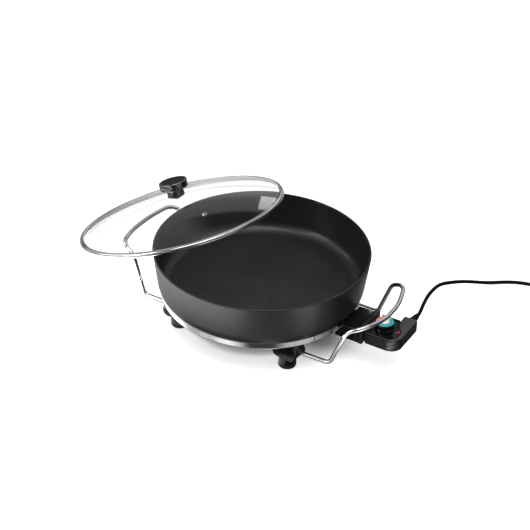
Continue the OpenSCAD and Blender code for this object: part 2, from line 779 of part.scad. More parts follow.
// Conductors from the strain relief to the sockets and the switch
module inner_leads() {
    end_x = shoulder_x + 4.1;
    start_y = arm_y - case_wall - 3.3;
    leads = [
        [[outlet_x - 2, start_y, 0], [outlet_x - 2, start_y - 3, 0], [85, 33, -3],
            [78, 24, -5], [66, 20, -5], [56, pin_y, -2], [end_x, pin_y, 0]],
        [[outlet_x + 2, start_y, 0], [outlet_x + 2, start_y - 3, 0],
            [outlet_x - 2, 28, -4], [86, 8, -5], [84, -12, -6],
            [74, -22, -6], [58, -22, -3], [end_x, -pin_y, 0]]
    ];
    color("brown") in_socket() for (lead = leads) sweep(lead, 1.1, 8);
}

module pilot_lens() {
    r = lens_d / 2;
    under = deck_z - case_wall;
    color("red") in_socket() translate([lamp_x, 0, 0]) rotate_extrude() polygon(concat(
        [[0, under - 1.3], [r + 1, under - 1.3], [r + 1, under], [r, under], [r, deck_z + 1]],
        arc([0, deck_z + 1], r, 0, 90, 6)));
}

module pilot_lamp() {
    low = case_wall - case_low;
    color("orange") in_socket() translate([lamp_x, 0, low])
        cylinder(d = 4, h = deck_z - case_wall - 1.3 - low);
}

module shell_screws() {
    color("silver") in_socket() for (p = shell_screw_at) translate([p[0], p[1], -case_low]) {
        cylinder(r = shell_head_r, h = 2);
        cylinder(r = shell_screw_r, h = case_low + 3);
    }
}

module strain_relief() {
    wall_y = arm_y - case_wall;
    color([0.06, 0.06, 0.06]) in_socket() on_y(outlet_x, 0, 0) rotate_extrude() polygon([
        [0, wall_y - 3], [6.8, wall_y - 3], [6.8, wall_y - 0.1], [5, wall_y - 0.1], [5, arm_y + 0.1],
        [7.5, arm_y + 0.1], [7.5, arm_y + 9], [6.2, arm_y + 10], [6.2, arm_y + 16],
        [5.4, arm_y + 17], [4.6, arm_y + relief_l], [0, arm_y + relief_l]]);
}

module dial() {
    low = deck_z + 0.4;
    r = dial_d / 2;
    hole = spindle_d / 2 + screw_gap;
    color("darkturquoise") in_socket() translate([dial_x, dial_y, 0]) rotate_extrude() polygon([
        [hole, low], [r, low], [r, low + 3], [r - 1, low + 4], [r - 1.5, dial_top - 1.5],
        [r - 3, dial_top], [0, dial_top], [0, dial_top - 3.5], [hole, dial_top - 3.5]]);
}

module dial_spindle() {
    low = switch_top + 0.1;
    color("silver") in_socket() translate([dial_x, dial_y, low])
        cylinder(d = spindle_d, h = dial_top - 3.5 - low);
}

module cord() { color([0.05, 0.05, 0.05]) sweep(lead_route, lead_r, 10); }

module cord_coil() {
    color([0.05, 0.05, 0.05]) translate([coil_c[0], coil_c[1], 0]) rotate_extrude()
        translate([(coil_d - coil_band) / 2, 0]) square([coil_band, coil_band]);
}

module cord_tail() { color([0.05, 0.05, 0.05]) sweep(tail_route, lead_r, 10); }

// A tie wrapped round the turns
module cord_tie() {
    gap = seat_gap;
    t = 0.8;
    w = 8;
    color([0.15, 0.15, 0.15]) translate([coil_c[0], coil_c[1] + coil_d / 2, 0])
        difference() {
            translate([-w / 2, -coil_band / 2 - gap - t, 0])
                cube([w, coil_band + 2 * gap + 2 * t, coil_band + gap + t]);
            translate([-w, -coil_band / 2 - gap, -1])
                cube([2 * w, coil_band + 2 * gap, coil_band + gap + 1]);
        }
}

module plug_body() {
    r = plug_d / 2;
    front = plug_relief_l + plug_l;
    color([0.05, 0.05, 0.05]) on_y(plug_at[0], plug_at[1], plug_at[2]) rotate_extrude() polygon([
        [0, 0], [4.6, 0], [6.5, plug_relief_l - 4], [8, plug_relief_l], [10, plug_relief_l + 2],
        [r - 2, plug_relief_l + 15], [r, plug_relief_l + 18], [r, front], [0, front]]);
}

module plug_pins() {
    color("silver") for (s = [-1, 1])
        on_y(plug_at[0] + s * plug_pin_gap / 2, plug_at[1] + plug_relief_l + plug_l, plug_at[2])
            cylinder(d = plug_pin_d, h = plug_pin_l);
}

pan_body();
base_shield();
heating_element();
element_seals();
contact_pins();
probe_sleeve();
socket_housing();
housing_screws();
bracket_right_front();
bracket_right_rear();
bracket_left_front();
bracket_left_rear();
bracket_screws();
foot_pads();
handle_grub_screws();
handle_right();
handle_left();
lid_glass();
lid_band();
vent_eyelet();
knob_seal();
lid_knob();
knob_washer();
knob_screw();
thermostat_lower();
thermostat_upper();
thermostat_probe();
contact_sockets();
thermostat_switch();
inner_leads();
pilot_lens();
pilot_lamp();
shell_screws();
strain_relief();
dial();
dial_spindle();
cord();
cord_coil();
cord_tail();
cord_tie();
plug_body();
plug_pins();
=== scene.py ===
"""Dresses the skillet's frame: camera, lamps, lead, pan, lid, handles, brackets, socket and thermostat.

Lengths are in metres in the frame's own axes: +X towards the thermostat, +Z up, and the
origin on the table under the pan's axis. Each sub-assembly is a class that holds its sizes
and builds and dresses its own pieces.
"""

import logging
import math
from dataclasses import dataclass, field
from enum import Enum
from typing import Callable, Iterable, Optional, Sequence

import bmesh
import bpy
from mathutils import Matrix, Vector


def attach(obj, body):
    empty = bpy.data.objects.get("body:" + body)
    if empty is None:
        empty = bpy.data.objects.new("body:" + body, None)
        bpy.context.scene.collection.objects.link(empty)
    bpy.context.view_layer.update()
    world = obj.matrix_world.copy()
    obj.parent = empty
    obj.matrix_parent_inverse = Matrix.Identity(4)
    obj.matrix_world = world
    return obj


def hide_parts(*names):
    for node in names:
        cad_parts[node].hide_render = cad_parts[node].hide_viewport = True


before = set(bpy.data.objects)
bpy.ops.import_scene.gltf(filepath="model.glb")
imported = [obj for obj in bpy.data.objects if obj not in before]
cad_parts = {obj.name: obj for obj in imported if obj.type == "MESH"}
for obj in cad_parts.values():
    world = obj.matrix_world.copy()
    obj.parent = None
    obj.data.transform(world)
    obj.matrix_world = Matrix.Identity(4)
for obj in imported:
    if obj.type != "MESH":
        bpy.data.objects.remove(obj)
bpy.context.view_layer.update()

MM = 0.001
SMOOTH_UNDER = math.radians(35)
FLAT_UNDER = math.radians(1.5)
EASE_OVER = math.radians(32)
WELD = 1e-6
ON_AXIS = 1e-9

log = logging.getLogger("skillet")

Point2 = tuple[float, float]
Point3 = tuple[float, float, float]
Colour = tuple[float, float, float]
Row = tuple[Point2, ...]
Socket = bpy.types.NodeSocket
Piece = bpy.types.Object
Mesh = bpy.types.Mesh
Face = bpy.types.MeshPolygon
Work = bmesh.types.BMesh


class Body(str, Enum):
    """The frame's bodies."""

    PAN = "pan"
    LID = "lid"
    THERMOSTAT = "thermostat"
    DIAL = "dial"


class Slot(str, Enum):
    """The record's material slots."""

    PAN_COATING = "pan_coating"
    POLISHED_STEEL = "polished_steel"
    CHROMED_ROD = "chromed_rod"
    PLAIN_STEEL = "plain_steel"
    ELEMENT_SHEATH = "element_sheath"
    CERAMIC = "ceramic"
    CONTACT_METAL = "contact_metal"
    MOULDED_BLACK = "moulded_black"
    CASING_BLACK = "casing_black"
    PAD_RUBBER = "pad_rubber"
    LID_GLASS = "lid_glass"
    DIAL_COLOUR = "dial_colour"
    LENS_RED = "lens_red"
    LAMP_GLASS = "lamp_glass"
    WIRE_COVER = "wire_cover"
    LEAD_RUBBER = "lead_rubber"


# ---------------------------------------------------------------------------------------
# Node trees


class TreeMaker:
    """Adds nodes to one node tree and joins their sockets."""

    def __init__(self, tree: bpy.types.NodeTree) -> None:
        """Takes the tree that the nodes go into."""
        self.tree = tree

    def add(self, kind: str, inputs: Optional[dict] = None, **settings: object) -> bpy.types.Node:
        """Adds one node.

        Args:
            kind: the node's type, as Blender names it.
            inputs: value or output socket for each input, by name or number.
            settings: the node's own settings.

        Returns:
            The new node.
        """
        node = self.tree.nodes.new(kind)
        for key, value in settings.items():
            setattr(node, key, value)
        for key, value in (inputs or {}).items():
            if isinstance(value, Socket):
                self.tree.links.new(value, node.inputs[key])
            else:
                node.inputs[key].default_value = value
        return node

    def math(self, operation: str, *values: object) -> Socket:
        """Adds a Math node and returns its output."""
        return self.add("ShaderNodeMath", dict(enumerate(values)), operation=operation).outputs[0]

    def vector(self, operation: str, *values: object) -> bpy.types.NodeOutputs:
        """Adds a Vector Math node and returns its outputs."""
        return self.add("ShaderNodeVectorMath", dict(enumerate(values)), operation=operation).outputs

    def mix(self, share: Socket, first: object, second: object) -> Socket:
        """Mixes two values and returns the value."""
        return self.add("ShaderNodeMix", {0: share, 2: first, 3: second}).outputs[0]

    def ramp(self, value: Socket, stops: Sequence[tuple[float, Colour]]) -> Socket:
        """Adds a colour ramp with those stops and returns its colour.

        Args:
            value: the place on the ramp, from 0 to 1.
            stops: place and colour of each stop.

        Returns:
            The colour at that place.
        """
        ramp = self.add("ShaderNodeValToRGB", {0: value})
        elements = ramp.color_ramp.elements
        while len(elements) < len(stops):
            elements.new(0.5)
        for element, (where, colour) in zip(elements, stops):
            element.position = where
            element.color = (*colour, 1)
        return ramp.outputs[0]

    def between(self, value: Socket, start: float, end: float, low: float = 0.0,
                high: float = 1.0) -> Socket:
        """Maps start to end smoothly onto low to high."""
        inputs = {"Value": value, 1: start, 2: end, 3: low, 4: high}
        return self.add("ShaderNodeMapRange", inputs, interpolation_type="SMOOTHSTEP").outputs["Result"]

    def straight(self) -> Socket:
        """Tells what the camera sees, directly or through glass, from what is mirrored or lights.

        Returns:
            1 for what is seen so, and 0 for the rest.
        """
        path = self.add("ShaderNodeLightPath").outputs
        unmirrored = self.math("LESS_THAN", path["Glossy Depth"], 0.5)
        through = self.math("MULTIPLY", path["Is Transmission Ray"], unmirrored)
        return self.math("MAXIMUM", path["Is Camera Ray"], through)

    def mirrored(self) -> Socket:
        """Tells what a glossy surface mirrors.

        Returns:
            1 for what is mirrored, and 0 for the rest.
        """
        path = self.add("ShaderNodeLightPath").outputs
        bounced = self.math("GREATER_THAN", path["Glossy Depth"], 0.5)
        return self.math("MULTIPLY", bounced, self.math("SUBTRACT", 1.0, path["Is Diffuse Ray"]))


class FinishTree(TreeMaker):
    """The shader tree of one material, around its Principled BSDF."""

    def __init__(self, material: bpy.types.Material) -> None:
        """Takes the material and finds its shader.

        Args:
            material: the material that the tree belongs to.
        """
        material.use_nodes = True
        super().__init__(material.node_tree)
        self.shader = self.tree.nodes["Principled BSDF"]

    def set(self, **values: object) -> None:
        """Sets the shader's own sockets; an underscore in a name stands for a space.

        Args:
            values: value or output socket for each of the sockets.
        """
        for key, value in values.items():
            socket = self.shader.inputs[key.replace("_", " ")]
            if isinstance(value, Socket):
                self.tree.links.new(value, socket)
            else:
                socket.default_value = value

    def place(self, scale: Point3 = (1, 1, 1), origin: Point3 = (0, 0, 0)) -> Socket:
        """Object coordinates, moved so that origin is at 0 and then scaled."""
        coords = self.add("ShaderNodeTexCoord").outputs["Object"]
        return self.vector("MULTIPLY", self.vector("SUBTRACT", coords, origin)[0], scale)[0]

    def noise(self, scale: float, detail: float = 2.0, stretch: Point3 = (1, 1, 1)) -> Socket:
        """Adds a noise pattern on object coordinates.

        Args:
            scale: how many waves it has in a metre.
            detail: how many finer layers lie on them.
            stretch: what the coordinates are multiplied by first.

        Returns:
            Its value, from 0 to 1.
        """
        inputs = {"Vector": self.place(stretch), "Scale": scale, "Detail": detail}
        return self.add("ShaderNodeTexNoise", inputs).outputs["Fac"]

    def span(self, value: Socket, low: float, high: float) -> Socket:
        """Spreads a 0.3 to 0.7 value over low to high."""
        inputs = {"Value": value, 1: 0.3, 2: 0.7, 3: low, 4: high}
        return self.add("ShaderNodeMapRange", inputs).outputs["Result"]

    def rough(self, pattern: Socket, middle: float, spread: Point2) -> None:
        """Lets the roughness follow a pattern, from a little less to a little more than its middle."""
        less, more = spread
        self.set(Roughness=self.span(pattern, middle - less, middle + more))

    def blend(self, share: Socket, first: Colour, second: Colour) -> Socket:
        """Mixes two colours and returns the colour."""
        inputs = {0: share, 6: (*first, 1), 7: (*second, 1)}
        return self.add("ShaderNodeMix", inputs, data_type="RGBA").outputs[2]

    def bump(self, height: Socket, depth: float, strength: float = 0.5) -> None:
        """Gives the shader a bump of that depth in metres."""
        inputs = {"Height": height, "Distance": depth, "Strength": strength}
        self.set(Normal=self.add("ShaderNodeBump", inputs).outputs[0])


# ---------------------------------------------------------------------------------------
# Finishes


@dataclass(frozen=True)
class Finish:
    """One finish: its name, its slot in the record, its colour and how rough it is."""

    name: str
    slot: Slot
    colour: Colour
    roughness: float = 0.4

    def material(self) -> bpy.types.Material:
        """Finds the finish's material, and makes it on first use.

        Returns:
            The material.
        """
        made = bpy.data.materials.get(f"finish_{self.name}")
        if made is None:
            made = bpy.data.materials.new(f"finish_{self.name}")
            tree = FinishTree(made)
            tree.set(Base_Color=(*self.colour, 1), Roughness=self.roughness)
            self.dress(tree)
        return made

    def dress(self, tree: FinishTree) -> None:
        """Adds what this kind of finish has; each kind has its own."""


@dataclass(frozen=True)
class TurnedCoating(Finish):
    """Hard coat on turned aluminium: faint lines round the pan, a fine grain and a soft sheen."""

    line_step: float = 1.1 * MM
    line_depth: float = 0.012 * MM
    line_strength: float = 0.6
    line_run: float = 6.0
    grain_scale: float = 2600.0
    grain_share: float = 0.35
    cloud_scale: float = 9.0
    worn: Colour = (0.016, 0.016, 0.0165)
    worn_share: float = 0.5
    spread: Point2 = (0.03, 0.04)
    gloss: float = 0.45

    def dress(self, tree: FinishTree) -> None:
        """Adds the turning lines, the grain and the cloudy sheen.

        Args:
            tree: the material's shader tree.
        """
        lines = tree.noise(1.0, stretch=(self.line_run, self.line_run, 1 / self.line_step))
        grain = tree.noise(self.grain_scale)
        clouds = tree.noise(self.cloud_scale)
        share = tree.span(clouds, 0, self.worn_share)
        tree.set(Base_Color=tree.blend(share, self.colour, self.worn))
        tree.rough(clouds, self.roughness, self.spread)
        tree.set(Specular_IOR_Level=self.gloss)
        height = tree.math("ADD", lines, tree.math("MULTIPLY", grain, self.grain_share))
        tree.bump(height, self.line_depth, self.line_strength)


@dataclass(frozen=True)
class NonStick(Finish):
    """Sprayed non-stick coat: dark, with a fine orange-peel surface and faint pale flecks."""

    flecks: Colour = (0.035, 0.035, 0.037)
    fleck_scale: float = 420.0
    fleck_edge: Point2 = (0.06, 0.12)
    cloud_scale: float = 14.0
    peel_scale: float = 900.0
    peel_depth: float = 0.02 * MM
    spread: Point2 = (0.04, 0.06)

    def dress(self, tree: FinishTree) -> None:
        """Adds the flecks and the sprayed surface.

        Args:
            tree: the material's shader tree.
        """
        spots = tree.add("ShaderNodeTexVoronoi", {"Vector": tree.place(), "Scale": self.fleck_scale})
        start, end = self.fleck_edge
        inputs = {"Value": spots.outputs["Distance"], 1: start, 2: end, 3: 1.0, 4: 0.0}
        near = tree.add("ShaderNodeMapRange", inputs).outputs[0]
        tree.set(Base_Color=tree.blend(near, self.colour, self.flecks))
        clouds = tree.noise(self.cloud_scale)
        tree.rough(clouds, self.roughness, self.spread)
        tree.bump(tree.noise(self.peel_scale), self.peel_depth)


@dataclass(frozen=True)
class BrightMetal(Finish):
    """Polished or chromed metal: mirror-like, with the faintest haze from handling."""

    haze: float = 0.03
    grain: float = 0.0
    smear_scale: float = 35.0
    grain_scale: Point3 = (900, 90, 900)
    grain_strength: float = 0.4

    def dress(self, tree: FinishTree) -> None:
        """Adds the haze, and the grain where the metal isn't polished.

        Args:
            tree: the material's shader tree.
        """
        tree.set(Metallic=1.0)
        smears = tree.noise(self.smear_scale, 4.0)
        tree.rough(smears, self.roughness, (0, self.haze))
        if self.grain:
            grain = tree.noise(1.0, stretch=self.grain_scale)
            tree.bump(grain, self.grain, self.grain_strength)


@dataclass(frozen=True)
class Moulded(Finish):
    """Moulded plastic: a gloss with slight waves, or a spark-eroded texture."""

    gloss: float = 0.5
    texture: float = 0.0
    texture_scale: float = 1500.0
    texture_strength: float = 0.6
    coat: float = 0.0
    coat_roughness: float = 0.06
    ior: float = 1.5
    wave_scale: float = 60.0
    wave_depth: float = 0.03 * MM
    wave_strength: float = 0.25
    spread: Point2 = (0.02, 0.03)

    def dress(self, tree: FinishTree) -> None:
        """Adds the moulding's waves, its texture and a thin gloss where it has one.

        Args:
            tree: the material's shader tree.
        """
        waves = tree.noise(self.wave_scale)
        tree.rough(waves, self.roughness, self.spread)
        tree.set(Coat_Weight=self.coat, Coat_Roughness=self.coat_roughness,
                 Specular_IOR_Level=self.gloss, IOR=self.ior)
        if self.texture:
            tree.bump(tree.noise(self.texture_scale), self.texture, self.texture_strength)
        else:
            tree.bump(waves, self.wave_depth, self.wave_strength)


@dataclass(frozen=True)
class SoftRubber(Finish):
    """Rubber or soft plastic: matt, with a dusty bloom in patches."""

    bloom: Colour = (0.05, 0.05, 0.05)
    gloss: float = 0.25
    patch_scale: float = 45.0
    skin_scale: float = 1800.0
    skin_depth: float = 0.02 * MM
    skin_strength: float = 0.4
    bloom_share: float = 0.6
    spread: Point2 = (0.05, 0.08)

    def dress(self, tree: FinishTree) -> None:
        """Adds the bloom and a fine skin.

        Args:
            tree: the material's shader tree.
        """
        patches = tree.noise(self.patch_scale, 4.0)
        share = tree.span(patches, 0, self.bloom_share)
        tree.set(Base_Color=tree.blend(share, self.colour, self.bloom))
        tree.rough(patches, self.roughness, self.spread)
        tree.set(Specular_IOR_Level=self.gloss)
        tree.bump(tree.noise(self.skin_scale), self.skin_depth, self.skin_strength)


@dataclass(frozen=True)
class ClearGlass(Finish):
    """Clear toughened glass or a clear moulded lens, with a trace of uneven surface."""

    ior: float = 1.47
    gloss: float = 0.15
    wave_scale: float = 12.0
    wave_depth: float = 0.05 * MM
    wave_strength: float = 0.1

    def dress(self, tree: FinishTree) -> None:
        """Adds the clearness and the slight waves."""
        tree.set(Transmission_Weight=1.0, IOR=self.ior, Specular_IOR_Level=self.gloss)
        tree.bump(tree.noise(self.wave_scale, 1.0), self.wave_depth, self.wave_strength)


@dataclass(frozen=True)
class Fired(Finish):
    """Fired ceramic: matt and speckled."""

    speck_scale: float = 500.0
    speck_depth: float = 0.05 * MM
    speck_strength: float = 0.4
    speck_share: float = 0.5
    speck_shade: float = 0.8

    def dress(self, tree: FinishTree) -> None:
        """Adds the speckle and the dry surface.

        Args:
            tree: the material's shader tree.
        """
        specks = tree.noise(self.speck_scale, 3.0)
        darker = tuple(self.speck_shade * part for part in self.colour)
        share = tree.span(specks, 0, self.speck_share)
        tree.set(Base_Color=tree.blend(share, self.colour, darker))
        tree.bump(specks, self.speck_depth, self.speck_strength)


@dataclass(frozen=True)
class ColourScale(Finish):
    """The dial's printed scale: a warm and a cool part round a white middle."""

    axis: Point2 = (0.256, 0.001)
    middle_r: float = 8.2 * MM
    blur: float = 0.6 * MM
    warm: Colour = (0.78, 0.24, 0.12)
    pale: Colour = (0.9, 0.8, 0.62)
    cool: Colour = (0.05, 0.45, 0.46)
    coat: float = 0.6
    coat_roughness: float = 0.05

    def dress(self, tree: FinishTree) -> None:
        """Colours the ring by its angle and leaves the middle white.

        Args:
            tree: the material's shader tree.
        """
        at = tree.place(origin=(*self.axis, 0))
        parts = tree.add("ShaderNodeSeparateXYZ", {0: at})
        angle = tree.math("ARCTAN2", parts.outputs[1], parts.outputs[0])
        turn = tree.math("DIVIDE", tree.math("ADD", angle, math.pi), 2 * math.pi)
        scale = tree.ramp(turn, [(0.0, self.warm), (0.09, self.warm), (0.16, self.cool),
                                 (0.66, self.cool), (0.76, self.pale), (0.86, self.warm)])
        squares = [tree.math("POWER", parts.outputs[i], 2.0) for i in (0, 1)]
        radius = tree.math("SQRT", tree.math("ADD", *squares))
        start, end = self.middle_r - self.blur, self.middle_r + self.blur
        inputs = {"Value": radius, 1: start, 2: end, 3: 0.0, 4: 1.0}
        outside = tree.add("ShaderNodeMapRange", inputs).outputs[0]
        inputs = {0: outside, 6: (*self.colour, 1), 7: scale}
        colour = tree.add("ShaderNodeMix", inputs, data_type="RGBA").outputs[2]
        tree.set(Base_Color=colour, Coat_Weight=self.coat, Coat_Roughness=self.coat_roughness)


JET: Colour = (0.0035, 0.0035, 0.004)
BRIGHT: Colour = (0.78, 0.78, 0.8)

PAN_OUTSIDE = TurnedCoating("pan_outside_coating", Slot.PAN_COATING, (0.009, 0.0093, 0.0096), 0.36)
PAN_INSIDE = NonStick("pan_inside_coating", Slot.PAN_COATING, (0.010, 0.010, 0.011), 0.34)
# A paler coat along the top edge of the pan's rim: a painted highlight.
PAN_RIM_HIGHLIGHT = TurnedCoating("pan_rim_painted_highlight", Slot.PAN_COATING, (0.02, 0.0205, 0.021), 0.4)
RING_STEEL = BrightMetal("ring_steel", Slot.POLISHED_STEEL, BRIGHT, 0.1, haze=0.05)
BAND_STEEL = BrightMetal("band_steel", Slot.POLISHED_STEEL, BRIGHT, 0.08)
ROD_CHROME = BrightMetal("rod_chrome", Slot.CHROMED_ROD, (0.82, 0.82, 0.84), 0.05)
SCREW_STEEL = BrightMetal("screw_steel", Slot.PLAIN_STEEL, (0.55, 0.55, 0.56), 0.28, 0.1, 0.01 * MM)
ELEMENT_STEEL = BrightMetal("element_steel", Slot.ELEMENT_SHEATH, (0.2, 0.18, 0.17), 0.45, 0.15, 0.02 * MM)
CONTACT_METAL = BrightMetal("plated_contact", Slot.CONTACT_METAL, (0.72, 0.6, 0.35), 0.2, 0.1)
PHENOLIC = Moulded("phenolic_black", Slot.MOULDED_BLACK, JET, 0.2, coat=0.3)
KNOB_SIDE = Moulded("knob_side", Slot.MOULDED_BLACK, JET, 0.12, gloss=1.0, coat=1.0, ior=1.9)
KNOB_TOP = Moulded("knob_top", Slot.MOULDED_BLACK, (0.008, 0.007, 0.006), 0.5, gloss=0.1)
CASING_GLOSS = Moulded("casing_gloss", Slot.CASING_BLACK, JET, 0.15, coat=0.4)
CASING_TEXTURE = Moulded("casing_texture", Slot.CASING_BLACK, (0.04, 0.042, 0.043), 0.55,
                         texture=0.05 * MM)
PAD_RUBBER = SoftRubber("foot_rubber", Slot.PAD_RUBBER, (0.015, 0.015, 0.015), 0.6)
LEAD_RUBBER = SoftRubber("cable_rubber", Slot.LEAD_RUBBER, (0.003, 0.003, 0.003), 0.5,
                         (0.005, 0.005, 0.005), gloss=0.1)
WIRE_COVER = SoftRubber("wire_sleeve", Slot.WIRE_COVER, (0.3, 0.14, 0.08), 0.4, (0.34, 0.18, 0.12))
LID_GLASS = ClearGlass("clear_pane", Slot.LID_GLASS, (0.97, 0.99, 0.985), 0.0)
LAMP_GLASS = ClearGlass("amber_lamp", Slot.LAMP_GLASS, (0.95, 0.6, 0.3), 0.05)
LENS_RED = Moulded("red_lens", Slot.LENS_RED, (0.7, 0.02, 0.03), 0.12, coat=0.5)
CERAMIC = Fired("fired_ceramic", Slot.CERAMIC, (0.82, 0.8, 0.74), 0.75)
DIAL_SCALE = ColourScale("dial_scale", Slot.DIAL_COLOUR, (0.9, 0.9, 0.89), 0.12)


# ---------------------------------------------------------------------------------------
# Shapes


def greys(stops: Iterable[Point2]) -> list[tuple[float, Colour]]:
    """Turns (place, brightness) stops into stops of grey."""
    return [(place, (grey, grey, grey)) for place, grey in stops]


def arc(centre: Point2, radius: float, start: float, end: float, steps: int = 8) -> list[Point2]:
    """Points of an arc.

    Args:
        centre: its centre.
        radius: its radius.
        start: angle of its first point, in degrees.
        end: angle of its last point, in degrees.
        steps: how many pieces it has.

    Returns:
        The points, both ends included.
    """
    angles = [math.radians(start + (end - start) * i / steps) for i in range(steps + 1)]
    return [(centre[0] + radius * math.cos(a), centre[1] + radius * math.sin(a)) for a in angles]


def eased(points: Sequence[Point2], radius: float, steps: int = 3) -> list[Point2]:
    """Rounds each corner of an outline a little.

    Args:
        points: the corners, the first and last of which stay sharp.
        radius: how far before and after a corner the rounding starts, at most.
        steps: how many pieces a rounding has.

    Returns:
        The rounded outline.
    """
    line = [Vector(p) for p in points]
    out = [line[0]]
    for before, corner, after in zip(line, line[1:], line[2:]):
        back, ahead = before - corner, after - corner
        reach = min(radius, 0.45 * back.length, 0.45 * ahead.length)
        start, end = corner + back.normalized() * reach, corner + ahead.normalized() * reach
        for i in range(steps + 1):
            t = i / steps
            out.append((1 - t) ** 2 * start + 2 * t * (1 - t) * corner + t * t * end)
    return [tuple(p) for p in out + [line[-1]]]


def link(mesh: Mesh, name: str) -> Piece:
    """Makes an object of a mesh and puts it into the scene.

    Args:
        mesh: the mesh.
        name: the object's name.

    Returns:
        The new object.
    """
    made = bpy.data.objects.new(name, mesh)
    bpy.context.scene.collection.objects.link(made)
    return made


def edit(mesh: Mesh, change: Callable[[Work], None]) -> None:
    """Runs one change on a mesh's bmesh and writes it back.

    Args:
        mesh: the mesh.
        change: what is done to it.
    """
    work = bmesh.new()
    work.from_mesh(mesh)
    change(work)
    work.to_mesh(mesh)
    work.free()
    mesh.update()


def tidy_shell(mesh: Mesh) -> None:
    """Merges doubles, turns all faces outwards and shades what is round smoothly.

    Args:
        mesh: the mesh, one or more closed shells.
    """
    def change(work: Work) -> None:
        """Merges doubles and turns the faces outwards."""
        bmesh.ops.remove_doubles(work, verts=work.verts, dist=WELD)
        bmesh.ops.recalc_face_normals(work, faces=work.faces)

    edit(mesh, change)
    mesh.shade_smooth()
    mesh.set_sharp_from_angle(angle=SMOOTH_UNDER)


def settled(piece: Piece) -> Piece:
    """Applies a piece's modifiers, so that it is a plain mesh.

    Args:
        piece: the piece.

    Returns:
        The same piece.
    """
    bpy.context.view_layer.update()
    graph = bpy.context.evaluated_depsgraph_get()
    plain = bpy.data.meshes.new_from_object(piece.evaluated_get(graph))
    piece.modifiers.clear()
    old, piece.data = piece.data, plain
    if not old.users:
        bpy.data.meshes.remove(old)
    return piece


class NodeShape:
    """A Geometry Nodes tree with named inputs, and a way to run it on a mesh."""

    def __init__(self, name: str, inputs: dict[str, str]) -> None:
        """Makes the tree with a geometry input and the inputs given as name and socket type.

        Args:
            name: the tree's name.
            inputs: name and socket type of each further input.
        """
        self.tree = bpy.data.node_groups.new(name, "GeometryNodeTree")
        face = self.tree.interface
        face.new_socket("Geometry", in_out="INPUT", socket_type="NodeSocketGeometry")
        for label, kind in inputs.items():
            face.new_socket(label, in_out="INPUT", socket_type=kind)
        face.new_socket("Geometry", in_out="OUTPUT", socket_type="NodeSocketGeometry")
        self.make = TreeMaker(self.tree)
        self.given = self.make.add("NodeGroupInput").outputs

    def end(self, shape: Socket) -> None:
        """Ends the tree: instances are made real, and the material is set.

        Args:
            shape: the output socket of the finished shape.
        """
        real = self.make.add("GeometryNodeRealizeInstances", {0: shape}).outputs[0]
        inputs = {"Geometry": real, "Material": self.given["Material"]}
        dressed = self.make.add("GeometryNodeSetMaterial", inputs).outputs[0]
        self.make.add("NodeGroupOutput", {0: dressed})

    def run(self, name: str, host: Mesh, values: dict[str, object]) -> Piece:
        """Runs the tree on a mesh.

        Args:
            name: the new piece's name.
            host: the mesh that the tree starts from.
            values: the value of each named input.

        Returns:
            The piece, as a plain mesh.
        """
        piece = link(host, name)
        modifier = piece.modifiers.new(self.tree.name, "NODES")
        modifier.node_group = self.tree
        for item in self.tree.interface.items_tree:
            if item.in_out == "INPUT" and item.name in values:
                modifier[item.identifier] = values[item.name]
        return settled(piece)


def line_mesh(points: Iterable[Sequence[float]], closed: bool = False) -> Mesh:
    """A mesh of bare edges through the points.

    Args:
        points: the points, in order.
        closed: whether an edge joins the last to the first.

    Returns:
        The mesh.
    """
    corners = [tuple(p) for p in points]
    edges = [(i, i + 1) for i in range(len(corners) - 1)]
    if closed:
        edges.append((len(corners) - 1, 0))
    mesh = bpy.data.meshes.new("line")
    mesh.from_pydata(corners, edges, [])
    return mesh


class Lathe(NodeShape):
    """Turns an outline round the Z axis: a grid whose rows are the outline, each a step further round."""

    def __init__(self) -> None:
        """Makes the tree."""
        super().__init__("lathe", {"Steps": "NodeSocketInt", "Outline Points": "NodeSocketInt",
                                   "Weld": "NodeSocketFloat", "Material": "NodeSocketMaterial"})
        add, given = self.make.add, self.given
        rows = self.make.math("ADD", given["Steps"], 1.0)
        grid = add("GeometryNodeMeshGrid", {"Vertices X": rows, "Vertices Y": given["Outline Points"]})
        index = add("GeometryNodeInputIndex").outputs[0]
        turn_no = self.make.math("FLOOR", self.make.math("DIVIDE", index, given["Outline Points"]))
        point_no = self.make.math("MODULO", index, given["Outline Points"])
        angle = self.make.math("MULTIPLY", turn_no, self.make.math("DIVIDE", 2 * math.pi, given["Steps"]))
        outline = add("GeometryNodeSampleIndex", {
            "Geometry": given["Geometry"], "Value": add("GeometryNodeInputPosition").outputs[0],
            "Index": point_no}, data_type="FLOAT_VECTOR").outputs[0]
        turned = add("ShaderNodeVectorRotate", {"Vector": outline, "Angle": angle},
                     rotation_type="Z_AXIS").outputs[0]
        placed = add("GeometryNodeSetPosition", {
            "Geometry": grid.outputs[0], "Position": turned}).outputs[0]
        self.end(add("GeometryNodeMergeByDistance", {
            "Geometry": placed, "Distance": given["Weld"]}).outputs[0])

    def turn(self, name: str, outline: Sequence[Point2], finish: Finish, steps: int = 96) -> Piece:
        """Turns an outline of (radius, height) points into a piece.

        Args:
            name: the piece's name.
            outline: the outline; one that doesn't start and end on the axis is closed.
            finish: the piece's finish.
            steps: how many steps there are round the axis.

        Returns:
            The turned piece.
        """
        points = list(outline)
        if max(points[0][0], points[-1][0]) >= ON_AXIS:
            points.append(points[0])
        host = line_mesh([(r, 0, z) for r, z in points])
        values = {"Steps": steps, "Outline Points": len(points), "Weld": WELD,
                  "Material": finish.material()}
        piece = self.run(name, host, values)
        tidy_shell(piece.data)
        return piece


